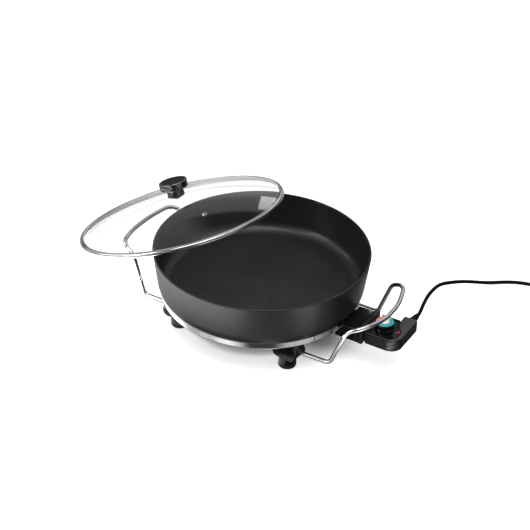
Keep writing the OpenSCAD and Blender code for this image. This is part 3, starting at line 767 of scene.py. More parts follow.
class RodBender(NodeShape):
    """Lays a round bar along a line, with flat ends."""

    def __init__(self) -> None:
        """Makes the tree."""
        super().__init__("rod_bender", {"Radius": "NodeSocketFloat", "Sides": "NodeSocketInt",
                                        "Material": "NodeSocketMaterial"})
        add, given = self.make.add, self.given
        line = add("GeometryNodeMeshToCurve", {0: given["Geometry"]}).outputs[0]
        ring = add("GeometryNodeCurvePrimitiveCircle", {
            "Resolution": given["Sides"], "Radius": given["Radius"]}).outputs[0]
        bar = add("GeometryNodeCurveToMesh", {"Curve": line, "Profile Curve": ring, "Fill Caps": True})
        self.end(bar.outputs[0])

    def bend(self, name: str, path: Sequence[Vector], radius: float, finish: Finish,
             sides: int = 32) -> Piece:
        """Bends a bar along a path.

        Args:
            name: the piece's name.
            path: points of the bar's middle line.
            radius: the bar's radius.
            finish: its finish.
            sides: how many sides its section has.

        Returns:
            The bar.
        """
        values = {"Radius": radius, "Sides": sides, "Material": finish.material()}
        piece = self.run(name, line_mesh(path), values)
        tidy_shell(piece.data)
        return piece


class Copies(NodeShape):
    """Puts a copy of one small shape at each point of a mesh, turned as the point's heading says."""

    def __init__(self) -> None:
        """Makes the tree."""
        super().__init__("copies", {"Shape": "NodeSocketObject", "Material": "NodeSocketMaterial"})
        add, given = self.make.add, self.given
        shape = add("GeometryNodeObjectInfo", {"Object": given["Shape"]}, transform_space="ORIGINAL")
        points = add("GeometryNodeMeshToPoints", {0: given["Geometry"]}).outputs[0]
        heading = add("GeometryNodeInputNamedAttribute", {"Name": "heading"}, data_type="FLOAT_VECTOR")
        turn = add("FunctionNodeAlignRotationToVector", {"Vector": heading.outputs[0]}, axis="Z")
        copies = add("GeometryNodeInstanceOnPoints", {
            "Points": points, "Instance": shape.outputs["Geometry"], "Rotation": turn.outputs[0]})
        self.end(copies.outputs[0])

    def place(self, name: str, shape: Piece, points: Sequence[Sequence[float]],
              headings: Sequence[Sequence[float]], finish: Finish) -> Piece:
        """Copies a shape to several places and removes the single one.

        Args:
            name: the piece's name.
            shape: the single shape, with +Z as its heading.
            points: where the copies go.
            headings: the direction that each copy's +Z takes.
            finish: their finish.

        Returns:
            One piece with all copies.
        """
        host = bpy.data.meshes.new("places")
        host.from_pydata([tuple(p) for p in points], [], [])
        kept = host.attributes.new("heading", "FLOAT_VECTOR", "POINT")
        kept.data.foreach_set("vector", [part for h in headings for part in h])
        piece = self.run(name, host, {"Shape": shape, "Material": finish.material()})
        bpy.data.objects.remove(shape)
        tidy_shell(piece.data)
        return piece


def frame_copy(node: str, name: str, finish: Finish, ease: float, steps: int = 2) -> Piece:
    """Copies a node of the frame with its edges eased.

    Args:
        node: the frame's node.
        name: the new piece's name.
        finish: its finish.
        ease: how wide the easing of an edge is.
        steps: how many pieces the easing has.

    Returns:
        The copy, as a plain mesh.
    """
    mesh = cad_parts[node].data.copy()
    mesh.materials.clear()

    def change(work: Work) -> None:
        """Merges doubles and joins faces that lie in one plane."""
        bmesh.ops.remove_doubles(work, verts=work.verts, dist=WELD)
        bmesh.ops.dissolve_limit(work, angle_limit=FLAT_UNDER, verts=work.verts, edges=work.edges)

    edit(mesh, change)
    mesh.materials.append(finish.material())
    mesh.shade_smooth()
    piece = link(mesh, name)
    bevel = piece.modifiers.new("ease", "BEVEL")
    bevel.width = ease
    bevel.segments = steps
    bevel.limit_method = "ANGLE"
    bevel.angle_limit = EASE_OVER
    bevel.miter_outer = "MITER_ARC"
    bevel.harden_normals = True
    return settled(piece)


def paint(piece: Piece, finish: Finish, test: Callable[[Face], bool]) -> None:
    """Gives a second finish to the faces that pass a test.

    Args:
        piece: the piece.
        finish: the second finish.
        test: tells whether a face takes it.
    """
    piece.data.materials.append(finish.material())
    number = len(piece.data.materials) - 1
    for face in piece.data.polygons:
        if test(face):
            face.material_index = number


def stand_for(piece: Piece, body: Body, finish: Finish, *nodes: str) -> None:
    """Makes a piece ride on its body and the nodes it stands for, and reports it.

    Args:
        piece: the piece.
        body: the body that carries it.
        finish: not used.
        nodes: the frame's nodes that it stands for.
    """
    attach(piece, body.value)
    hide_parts(*nodes)
    log.info("%s rides on %s and stands for %s", piece.name, body.value, ", ".join(nodes))


def dress_nodes(finish: Finish, *nodes: str) -> None:
    """Keeps the nodes' own meshes and gives them a finish.

    Args:
        finish: the finish.
        nodes: names of the frame's nodes.
    """
    for node in nodes:
        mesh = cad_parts[node].data
        mesh.materials.clear()
        mesh.materials.append(finish.material())
        log.info("%s keeps its own mesh", node)


# ---------------------------------------------------------------------------------------
# Camera, lamps and floor


@dataclass(frozen=True)
class Lamp:
    """One softbox; one that doesn't light only shows in what is glossy."""

    name: str
    place: Point3
    size: Point2
    power: float
    lights: bool = True


@dataclass
class Studio:
    """Camera, lamps, floor and surroundings."""

    azimuth: float = math.radians(29.594)
    elevation: float = math.radians(33.562)
    roll: float = math.radians(1.89)
    distance: float = 2.86657
    lens_mm: float = 104.78
    sensor_mm: float = 36
    sees_to: float = 50
    aim_height: float = 0.07
    aim_right: float = 5.934 * MM
    aim_up: float = 41.4 * MM
    floor_half: float = 6.0
    floor_grey: float = 0.86
    floor_roughness: float = 0.9
    floor_glow: float = 0.62
    # Middle, reach and least glow of the floor's two painted shadows, under the socket and under the pan.
    painted_shadows: tuple[tuple[Point3, Point2, float], ...] = (
        ((0.12, 0.01, 0), (0.015, 0.1), 0.02),
        ((-0.012, 0, 0), (0.11, 0.135), 0.15))
    soft_light: Point2 = (0.25, 1.15)
    dome_rise: Point2 = (0.25, 0.9)
    horizon_rise: Point2 = (0.02, 0.06)
    horizon_light: float = 0.05
    mid_rise: Point2 = (0.16, 0.28)
    top_rise: Point2 = (0.78, 0.88)
    card_rise: tuple[float, float, float, float] = (0.44, 0.49, 0.62, 0.67)
    # Rows of light and dark that a gloss mirrors in the sky, from the horizon up: degrees to the
    # right of the camera's direction, and brightness. The card darkens the middle row.
    low_bands: Row = (
        (-180, 0.5), (-140, 0.5), (-122, 0.2), (-98, 0.2), (-85, 0.9), (-50, 0.95), (-36, 0.08),
        (-20, 0.03), (22, 0.03), (35, 0.4), (62, 0.4), (78, 0.03), (130, 0.03), (145, 0.1), (160, 0.35),
        (180, 0.5))
    mid_bands: Row = (
        (-180, 0.3), (-160, 0.35), (-125, 0.35), (-100, 0.6), (-60, 0.8), (-45, 0.1), (-25, 0.06),
        (5, 0.06), (20, 0.2), (45, 0.3), (65, 0.4), (80, 0.12), (100, 0.15), (118, 0.5), (165, 0.7),
        (180, 0.3))
    top_bands: Row = (
        (-180, 1.2), (-160, 0.3), (-140, 0.05), (-20, 0.05), (0, 0.1), (20, 0.3), (40, 0.6), (80, 0.8),
        (110, 1.2), (160, 1.5), (180, 1.2))
    dark_card: Row = ((-180, 0.15), (-168, 0.15), (-160, 1.0), (160, 1.0), (168, 0.15), (180, 0.15))
    # The same on the table top, from under the pan outwards.
    feet_bands: Row = (
        (-180, 0.1), (-84, 0.1), (-80, 0.7), (-68, 0.7), (-64, 0.05), (1, 0.05), (4, 0.7), (12, 0.7),
        (15, 0.05), (90, 0.05), (180, 0.1))
    rod_bands: Row = (
        (-180, 0.1), (-160, 0.15), (-140, 0.4), (-120, 0.75), (-80, 0.85), (-40, 0.3), (-20, 0.35),
        (0, 0.75), (20, 0.4), (40, 0.25), (58, 0.08), (66, 0.1), (80, 0.25), (100, 0.45), (120, 0.9),
        (135, 0.9), (150, 0.4), (180, 0.1))
    wall_bands: Row = (
        (-180, 0.4), (-165, 0.1), (-130, 0.1), (-115, 0.8), (-95, 1.6), (-65, 3.6), (-36, 4.9),
        (-21, 4.2), (-7, 0.9), (8, 0.2), (22, 0.8), (37, 2.7), (51, 0.4), (66, 0.05), (90, 0.06),
        (130, 0.06), (150, 0.35), (180, 0.4))
    band_bands: Row = (
        (-180, 0.7), (-160, 0.7), (-140, 0.35), (-110, 0.3), (-98, 0.12), (-87, 0.12), (-78, 0.55),
        (-66, 0.3), (-53, 0.7), (-42, 0.3), (-34, 0.02), (20, 0.02), (35, 0.3), (49, 0.5), (62, 0.25),
        (75, 0.02), (130, 0.02), (150, 0.3), (165, 0.5), (180, 0.7))
    ring_bands: Row = (
        (-180, 0.65), (-140, 0.3), (-110, 0.3), (-85, 0.9), (-60, 0.8), (-50, 0.7), (-40, 1.6),
        (-24, 1.6), (-10, 0.1), (15, 0.1), (26, 0.75), (50, 0.8), (62, 0.3), (78, 0.03), (130, 0.03),
        (145, 0.1), (160, 0.35), (180, 0.65))
    # How far from the pan's axis each of these gives way to the next.
    table_edges: tuple[Point2, ...] = ((0.2, 0.23), (0.27, 0.31), (0.5, 0.56), (1.2, 1.4))
    lamp_aim: Point3 = (0, 0, 0.1)
    lamps: tuple[Lamp, ...] = (
        Lamp("lamp_key", (0.2, -0.7, 2.1), (1.5, 1.5), 20),
        Lamp("lamp_left", (-1.0, -1.25, 0.9), (0.5, 1.2), 10, lights=False),
        Lamp("lamp_side", (-2.0, -0.3, 0.9), (0.8, 1.2), 6, lights=False),
        Lamp("lamp_back", (-1.1, 2.2, 1.0), (0.15, 0.57), 0.45, lights=False))

    def directions(self) -> tuple[Vector, Vector, Vector]:
        """The directions to the camera's right, upwards and back towards it, before its roll.

        Returns:
            The three directions, each of length 1.
        """
        a, e = self.azimuth, self.elevation
        back = Vector((math.sin(a) * math.cos(e), -math.cos(a) * math.cos(e), math.sin(e)))
        right = Vector((math.cos(a), math.sin(a), 0))
        return right, back.cross(right), back

    def camera(self) -> None:
        """Makes the camera and sets it as the scene's own."""
        right, up, back = self.directions()
        aim = Vector((0, 0, self.aim_height)) + self.aim_right * right + self.aim_up * up
        across = math.cos(self.roll) * right + math.sin(self.roll) * up
        upward = math.cos(self.roll) * up - math.sin(self.roll) * right
        turn = Matrix((across, upward, back)).transposed().to_4x4()
        lens = bpy.data.cameras.new("camera")
        lens.lens = self.lens_mm
        lens.sensor_width = self.sensor_mm
        lens.clip_end = self.sees_to
        made = bpy.data.objects.new("camera", lens)
        made.matrix_world = Matrix.Translation(aim + back * self.distance) @ turn
        bpy.context.scene.collection.objects.link(made)
        bpy.context.scene.camera = made

    def add_lamp(self, lamp: Lamp) -> None:
        """Adds one softbox, pointed at the middle of the skillet.

        Args:
            lamp: its name, place, size and power.
        """
        light = bpy.data.lights.new(lamp.name, "AREA")
        light.shape = "RECTANGLE"
        light.size, light.size_y = lamp.size
        light.energy = lamp.power
        made = bpy.data.objects.new(lamp.name, light)
        way = Vector(self.lamp_aim) - Vector(lamp.place)
        turn = way.to_track_quat("-Z", "Y").to_matrix().to_4x4()
        made.matrix_world = Matrix.Translation(lamp.place) @ turn
        made.visible_diffuse = lamp.lights
        bpy.context.scene.collection.objects.link(made)

    def level_axes(self) -> tuple[Vector, Vector]:
        """The level directions to the camera's right and towards the camera."""
        right = Vector((math.cos(self.azimuth), math.sin(self.azimuth), 0))
        return right, Vector((right.y, -right.x, 0))

    def bands(self, make: TreeMaker, place: Socket, stops: Row) -> Socket:
        """Light and dark bands round the Z axis.

        Args:
            make: the tree that they go into.
            place: the place or direction that is looked up.
            stops: angle and brightness of each band, in degrees to the right of the camera's direction.

        Returns:
            The brightness at that place.
        """
        parts = [make.vector("DOT_PRODUCT", place, axis)["Value"] for axis in self.level_axes()]
        turn = make.math("MULTIPLY_ADD", make.math("ARCTAN2", *parts), 1 / (2 * math.pi), 0.5)
        return make.ramp(turn, greys([(angle / 360 + 0.5, grey) for angle, grey in stops]))

    def surroundings(self) -> None:
        """A plain soft light all round; white to the camera, and rows of light and dark to gloss."""
        world = bpy.data.worlds.new("surroundings")
        world.use_nodes = True
        bpy.context.scene.world = world
        make = TreeMaker(world.node_tree)
        way = make.add("ShaderNodeTexCoord").outputs["Generated"]
        rise = make.add("ShaderNodeSeparateXYZ", {0: way}).outputs[2]
        sky = (self.low_bands, self.mid_bands, self.top_bands)
        low, mid, top = [self.bands(make, way, row) for row in sky]
        start, full, still, end = self.card_rise
        below, above = make.between(rise, start, full, 1.0, 0.0), make.between(rise, still, end)
        beside = self.bands(make, way, self.dark_card)
        uncovered = make.math("MAXIMUM", make.math("MAXIMUM", below, above), beside)
        mid = make.math("MULTIPLY", mid, uncovered)
        sides = make.mix(make.between(rise, *self.mid_rise), low, mid)
        bright = make.mix(make.between(rise, *self.top_rise), sides, top)
        horizon = make.between(rise, *self.horizon_rise, self.horizon_light)
        bright = make.math("MULTIPLY", bright, horizon)
        dome = make.between(rise, *self.dome_rise, *self.soft_light)
        unseen = make.mix(make.mirrored(), dome, bright)
        back = world.node_tree.nodes["Background"]
        back.inputs["Color"].default_value = (1, 1, 1, 1)
        world.node_tree.links.new(make.mix(make.straight(), unseen, 1.0), back.inputs["Strength"])

    def floor(self) -> None:
        """A pale floor, white where no shadow lies, with painted shadows under socket and pan; a lit table
        top to gloss.
        """
        half = self.floor_half
        corners = [(-half, -half, 0), (half, -half, 0), (half, half, 0), (-half, half, 0)]
        mesh = bpy.data.meshes.new("floor")
        mesh.from_pydata(corners, [], [(0, 1, 2, 3)])
        paper = bpy.data.materials.new("floor_paper")
        tree = FinishTree(paper)
        tree.set(Base_Color=(self.floor_grey, self.floor_grey, self.floor_grey, 1),
                 Roughness=self.floor_roughness, Specular_IOR_Level=0.0)
        # The glow is lowered round two middles: painted shadows under the socket and under the pan.
        shadow_glows = []
        for middle, reach, least in self.painted_shadows:
            off = tree.vector("LENGTH", tree.place(origin=middle))["Value"]
            shadow_glows.append(tree.between(off, *reach, least, self.floor_glow))
        glow = tree.math("MULTIPLY", tree.straight(), tree.math("MINIMUM", *shadow_glows))
        tree.set(Emission_Color=(1, 1, 1, 1), Emission_Strength=glow)
        at = tree.place()
        away = tree.vector("LENGTH", at)["Value"]
        rows = (self.feet_bands, self.rod_bands, self.wall_bands, self.band_bands, self.ring_bands)
        lit, *outer = [self.bands(tree, at, row) for row in rows]
        for (start, end), row in zip(self.table_edges, outer):
            lit = tree.mix(tree.between(away, start, end), lit, row)
        table = tree.add("ShaderNodeEmission", {"Color": (1, 1, 1, 1), "Strength": lit}).outputs[0]
        shader = tree.shader.outputs[0]
        both = tree.add("ShaderNodeMixShader", {0: tree.mirrored(), 1: shader, 2: table}).outputs[0]
        tree.tree.links.new(both, tree.tree.nodes["Material Output"].inputs["Surface"])
        mesh.materials.append(paper)
        link(mesh, "floor")

    def build(self) -> None:
        """Makes the whole studio."""
        bpy.context.scene.view_settings.view_transform = "Standard"
        self.camera()
        self.surroundings()
        self.floor()
        for lamp in self.lamps:
            self.add_lamp(lamp)


# ---------------------------------------------------------------------------------------
# The lead


@dataclass
class Lead:
    """The mains lead, its coil, tie, strain relief and plug."""

    diameter: float = 7 * MM
    length: float = 1.236
    outlet: Vector = field(default_factory=lambda: Vector((0.2855, 0.076, 0.070)))
    relief_start: float = 0.050
    route_mm: tuple[Point3, ...] = (
        (285.5, 76, 70), (285.5, 84, 70), (283.5, 97, 72), (281, 113, 75), (279, 132, 78),
        (278, 155, 77.5), (277.5, 178, 73.5), (278, 200, 66), (280, 223, 56), (284, 250, 44),
        (290.5, 276, 32.5), (299, 299, 22), (309, 319, 13), (321, 337, 6.5), (335, 352, 4),
        (351, 364, 3.5), (369, 373, 3.5), (388, 379, 3.5), (406, 382, 3.5))
    tail_mm: tuple[Point3, ...] = (
        (470, 440, 11.5), (470, 446, 13.5), (470, 452, 16.2), (470, 458, 18), (470, 463, 18.5),
        (470, 467, 18.5))
    route_steps: int = 4
    coil_step: float = 10
    coil_middle: Point2 = (0.428, 0.425)
    wide: float = 42 * MM
    narrow: float = 35 * MM
    low: float = 3.5 * MM
    high: float = 10.5 * MM
    plug_at: Vector = field(default_factory=lambda: Vector((0.470, 0.467, 0.0185)))
    plug_r: float = 18.5 * MM
    plug_relief: float = 20 * MM
    plug_l: float = 36 * MM
    neck_ribs: int = 5
    pin_l: float = 19 * MM
    pin_r: float = 2.4 * MM
    pin_gap: float = 19 * MM
    pin_round: float = 1.6 * MM
    tie_ease: float = 0.3 * MM

    def coil_points(self) -> list[Vector]:
        """Points of the coil: two turns lie on the table and the rest on them.

        Returns:
            The points, from where the lead comes in to where it leaves.
        """
        wide, narrow, low, high = self.wide, self.narrow, self.low, self.high
        stages = [(-90, wide, low), (200, wide, low), (270, narrow, low), (500, narrow, low),
                  (560, narrow, high), (800, narrow, high), (860, wide, high), (1080, wide, high)]
        points = []
        for (start, r0, z0), (end, r1, z1) in zip(stages, stages[1:]):
            steps = round((end - start) / self.coil_step)
            for i in range(steps):
                t = i / steps
                ease = t * t * (3 - 2 * t)
                angle = math.radians(start + (end - start) * t)
                r, z = r0 + (r1 - r0) * ease, z0 + (z1 - z0) * ease
                points.append(Vector((self.coil_middle[0] + r * math.cos(angle),
                                      self.coil_middle[1] + r * math.sin(angle), z)))
        points.append(Vector((self.coil_middle[0] + wide, self.coil_middle[1], high)))
        return points

    def line(self) -> list[Vector]:
        """The lead's whole middle line, from the strain relief into the plug."""
        route, tail = [[Vector(p) * MM for p in row] for row in (self.route_mm, self.tail_mm)]
        return smooth_line(route + self.coil_points() + tail, self.route_steps)

    def cable(self) -> Piece:
        """The lead itself, as one open curve.

        Returns:
            The curve, with its round section.
        """
        curve = bpy.data.curves.new("mains_lead", "CURVE")
        curve.dimensions = "3D"
        curve.bevel_depth = self.diameter / 2
        curve.bevel_resolution = 4
        curve.use_fill_caps = True
        points = self.line()
        spline = curve.splines.new("POLY")
        spline.points.add(len(points) - 1)
        spline.points.foreach_set("co", [part for p in points for part in (*p, 1)])
        spline.use_smooth = True
        curve.materials.append(LEAD_RUBBER.material())
        made = bpy.data.objects.new("mains_lead", curve)
        bpy.context.scene.collection.objects.link(made)
        return made

    def relief(self, lathe: Lathe) -> Piece:
        """The stepped strain relief between the thermostat and the lead.

        Args:
            lathe: the tree that turns outlines.

        Returns:
            The strain relief.
        """
        corners = [(0, -5.5), (6.8, -5.5), (6.8, -2.6), (5, -2.6), (5, 0.1), (7.5, 0.1), (7.5, 8.6),
                   (6.3, 9.8)]
        rings = [(6.3, 12), (5.6, 12.2), (5.6, 13.2), (6.1, 13.4), (6.1, 15.4), (5.5, 15.6), (5.5, 16.6),
                 (5.9, 16.8), (5.8, 18.8), (5.2, 19), (5.2, 20), (5.4, 20.2), (5.0, 23), (4.4, 26), (0, 26)]
        outline = eased([(r * MM, y * MM) for r, y in corners + rings], 0.35 * MM)
        piece = lathe.turn("strain_relief", outline, LEAD_RUBBER, 64)
        return along_y(piece, Vector((self.outlet.x, self.relief_start, self.outlet.z)))

    def plug(self, lathe: Lathe) -> Piece:
        """The moulded plug with its ribbed neck.

        Args:
            lathe: the tree that turns outlines.

        Returns:
            The plug.
        """
        neck = [(0, 0), (4.6, 0)]
        for i in range(self.neck_ribs):
            r = 5.2 + 0.5 * i
            neck += [(r, 3 * i + 1.2), (r, 3 * i + 2.6), (r - 0.5, 3 * i + 2.9)]
        r, start = self.plug_r / MM, self.plug_relief / MM
        front = (self.plug_relief + self.plug_l) / MM
        body = [(8, start - 2), (10, start + 2), (r - 2, start + 15), (r, start + 18), (r, front - 1),
                (r - 1, front), (0, front)]
        outline = eased([(a * MM, b * MM) for a, b in neck + body], 0.6 * MM)
        return along_y(lathe.turn("plug_body", outline, LEAD_RUBBER), self.plug_at)

    def pins(self, lathe: Lathe, copies: Copies) -> Piece:
        """The plug's two round pins with domed ends.

        Args:
            lathe: the tree that turns outlines.
            copies: the tree that copies a shape.

        Returns:
            Both pins as one piece.
        """
        r, tip, ease = self.pin_r, self.pin_l, self.pin_round
        outline = [(0, 0), (r, 0)] + arc((r - ease, tip - ease), ease, 0, 90, 5) + [(0, tip)]
        single = lathe.turn("pin", outline, CONTACT_METAL, 32)
        y = self.plug_at.y + self.plug_relief + self.plug_l
        places = [(self.plug_at.x + side * self.pin_gap / 2, y, self.plug_at.z) for side in (-1, 1)]
        return copies.place("plug_pins", single, places, [(0, 1, 0)] * 2, CONTACT_METAL)

    def build(self, lathe: Lathe, copies: Copies) -> None:
        """Makes the lead and all that is on it.

        Args:
            lathe: the tree that turns outlines.
            copies: the tree that copies a shape.
        """
        cable = self.cable()
        relief = self.relief(lathe)
        plug = self.plug(lathe)
        pins = self.pins(lathe, copies)
        tie = frame_copy("cord_tie", "coil_tie", PAD_RUBBER, self.tie_ease)
        for piece, finish, nodes in ((cable, LEAD_RUBBER, ("cord", "cord_coil", "cord_tail")),
                                     (relief, LEAD_RUBBER, ("strain_relief",)),
                                     (plug, LEAD_RUBBER, ("plug_body",)),
                                     (pins, CONTACT_METAL, ("plug_pins",)),
                                     (tie, PAD_RUBBER, ("cord_tie",))):
            stand_for(piece, Body.THERMOSTAT, finish, *nodes)


def along_y(piece: Piece, at: Vector) -> Piece:
    """Lays a turned piece along +Y with its foot at a point."""
    piece.data.transform(Matrix.Translation(at) @ Matrix.Rotation(-math.pi / 2, 4, "X"))
    return piece


def smooth_line(points: Sequence[Vector], steps: int) -> list[Vector]:
    """Draws a smooth line through points.

    Args:
        points: the points to pass through.
        steps: how many pieces each stretch gets.

    Returns:
        Points of the smooth line, the first and last point included.
    """
    line = []
    for i in range(len(points) - 1):
        before, start, end = points[max(i - 1, 0)], points[i], points[i + 1]
        after = points[min(i + 2, len(points) - 1)]
        leave, arrive = (end - before) / 2, (after - start) / 2
        for k in range(steps):
            t = k / steps
            line.append((2 * t ** 3 - 3 * t ** 2 + 1) * start + (t ** 3 - 2 * t ** 2 + t) * leave
                        + (3 * t ** 2 - 2 * t ** 3) * end + (t ** 3 - t ** 2) * arrive)
    return line + [points[-1]]


# ---------------------------------------------------------------------------------------
# Pan, shield, element, handles and brackets


@dataclass
class Pan:
    """The pan itself."""

    rim_r: float = 200 * MM
    base_r: float = 183.6 * MM
    underside: float = 74 * MM
    rim_z: float = 157.7 * MM
    edge_h: float = 21 * MM
    edge_top_r: float = 192 * MM
    wall: float = 3.5 * MM
    floor: float = 6 * MM
    inner_r: float = 22 * MM
    base_ease: float = 1.2 * MM
    rim_ease: float = 0.2 * MM
    # Height of the paler band along the rim's top: a painted highlight.
    rim_highlight_h: float = 0.6 * MM
    edge_skip: float = 0.8
    floor_ring: float = 0.6
    lean_in: float = 0.2

    def outline(self) -> list[Point2]:
        """The pan's section, from the middle of its underside round the rim to that of its floor.

        Returns:
            Its points, as radius and height.
        """
        edge_z = self.underside + self.edge_h
        lean = math.atan((self.rim_r - self.edge_top_r) / (self.rim_z - self.underside - self.edge_h))
        across = self.edge_top_r - self.base_r
        edge_r = (across ** 2 + self.edge_h ** 2) / (
            2 * (across * math.cos(lean) - self.edge_h * math.sin(lean)))
        centre = (self.edge_top_r - edge_r * math.cos(lean), edge_z + edge_r * math.sin(lean))
        start = math.degrees(math.atan2(self.underside - centre[1], self.base_r - centre[0]))
        half = self.wall / 2
        floor_z = self.underside + self.floor
        wall_at = self.rim_r - self.wall - (self.rim_z - floor_z - self.inner_r) * math.tan(lean)
        return ([(0, self.underside), (self.base_r - self.base_ease, self.underside)]
                + arc(centre, edge_r, start + self.edge_skip, -math.degrees(lean), 20)
                + [(self.rim_r - self.rim_ease, self.rim_z - half - MM)]
                + arc((self.rim_r - half, self.rim_z - half), half, 0, 180, 12)
                + arc((wall_at - self.inner_r, floor_z + self.inner_r), self.inner_r, 0, -90, 16)
                + [(self.floor_ring * wall_at, floor_z), (0, floor_z)])

    def build(self, lathe: Lathe) -> None:
        """Makes the pan: coated outside, non-stick inside, and a paler coat along the rim's top edge that
        is a painted highlight.

        Args:
            lathe: the tree that turns outlines.
        """
        pan = lathe.turn("pan", self.outline(), PAN_OUTSIDE, 256)
        middle_r = self.rim_r - self.wall / 2
        rim_highlight_z = self.rim_z - self.rim_highlight_h

        def inside(face: Face) -> bool:
            """Tells whether a face belongs to the pan's inside."""
            x, y, z = face.center
            r = math.hypot(x, y)
            facing_in = face.normal.x * x + face.normal.y * y < -self.lean_in * r
            return z > self.underside + self.floor - MM and (facing_in or r < middle_r - self.wall)

        paint(pan, PAN_INSIDE, inside)
        # The rim's top edge takes the paler coat: a painted highlight.
        paint(pan, PAN_RIM_HIGHLIGHT, lambda face: face.center.z > rim_highlight_z)
        stand_for(pan, Body.PAN, PAN_OUTSIDE, "pan_body")


@dataclass
class Underside:
    """The bright shield under the pan, the element, the probe's sleeve and the screws."""

    def build(self) -> None:
        """Dresses the pieces under the pan."""
        dress_nodes(RING_STEEL, "base_shield")
        dress_nodes(ELEMENT_STEEL, "heating_element")
        dress_nodes(CERAMIC, "element_seals")
        dress_nodes(CONTACT_METAL, "contact_pins")
        dress_nodes(SCREW_STEEL, "probe_sleeve", "housing_screws", "bracket_screws",
                    "handle_grub_screws")


@dataclass
class Handles:
    """The two handles of bent wire."""

    rod_d: float = 8 * MM
    start_x: float = 112.17 * MM
    half_span: float = 93.8 * MM
    low_z: float = 34.7 * MM
    low_x: float = 198.1 * MM
    rise: Point3 = (225 * MM, 88.5 * MM, 109.1 * MM)
    grip: Point3 = (252.5 * MM, 80.6 * MM, 122.3 * MM)
    middle: Point3 = (268.1 * MM, 30 * MM, 116.7 * MM)
    # Radius and steps of each bend, from the bracket to the grip's middle.
    bends: tuple[tuple[float, int], ...] = ((14 * MM, 14), (30 * MM, 14), (30 * MM, 16), (150 * MM, 14))

    def corner(self, before: Vector, at: Vector, after: Vector, radius: float, steps: int) -> list[Vector]:
        """Points of a bend in the wire.

        Args:
            before: where the wire comes from.
            at: the corner that is rounded.
            after: where the wire goes.
            radius: the bend's radius.
            steps: how many pieces the bend has.

        Returns:
            The points, both ends included.
        """
        back, ahead = (before - at).normalized(), (after - at).normalized()
        half_open = back.angle(ahead) / 2
        turn = math.pi - 2 * half_open
        start = at + back * radius / math.tan(half_open)
        end = at + ahead * radius / math.tan(half_open)
        centre = at + (back + ahead).normalized() * radius / math.sin(half_open)
        return [centre + ((start - centre) * math.sin((1 - i / steps) * turn)
                          + (end - centre) * math.sin(i / steps * turn)) / math.sin(turn)
                for i in range(steps + 1)]

    def path(self) -> list[Vector]:
        """The wire's middle line on the right-hand side.

        Returns:
            Its points, from the rear bracket to the front one.
        """
        flip = Matrix.Diagonal((1, -1, 1))
        start = Vector((self.start_x, self.half_span, self.low_z))
        low = Vector((self.low_x, self.half_span, self.low_z))
        middle = Vector(self.middle)
        stops = [start, low, Vector(self.rise), Vector(self.grip), middle, flip @ middle]
        half = [start]
        for before, at, after, (radius, steps) in zip(stops, stops[1:], stops[2:], self.bends):
            half += self.corner(before, at, after, radius, steps)
        return half + [flip @ p for p in reversed(half)]

    def build(self, bender: RodBender) -> None:
        """Makes both handles.

        Args:
            bender: the tree that bends a bar.
        """
        turn = Matrix.Rotation(math.pi, 3, "Z")
        for side, path in (("right", self.path()), ("left", [turn @ p for p in self.path()])):
            rod = bender.bend(f"handle_wire_{side}", path, self.rod_d / 2, ROD_CHROME)
            stand_for(rod, Body.PAN, ROD_CHROME, f"handle_{side}")


@dataclass
class Brackets:
    """The four moulded brackets and their foot pads."""

    ease: float = 0.8 * MM
    pad_ease: float = 0.3 * MM

    def build(self) -> None:
        """Makes the brackets and the pads."""
        for side in ("right", "left"):
            for end in ("front", "rear"):
                node = f"bracket_{side}_{end}"
                piece = frame_copy(node, f"foot_bracket_{side}_{end}", PHENOLIC, self.ease, 3)
                stand_for(piece, Body.PAN, PHENOLIC, node)
        pads = frame_copy("foot_pads", "rubber_pads", PAD_RUBBER, self.pad_ease)
        stand_for(pads, Body.PAN, PAD_RUBBER, "foot_pads")


# ---------------------------------------------------------------------------------------
# Lid


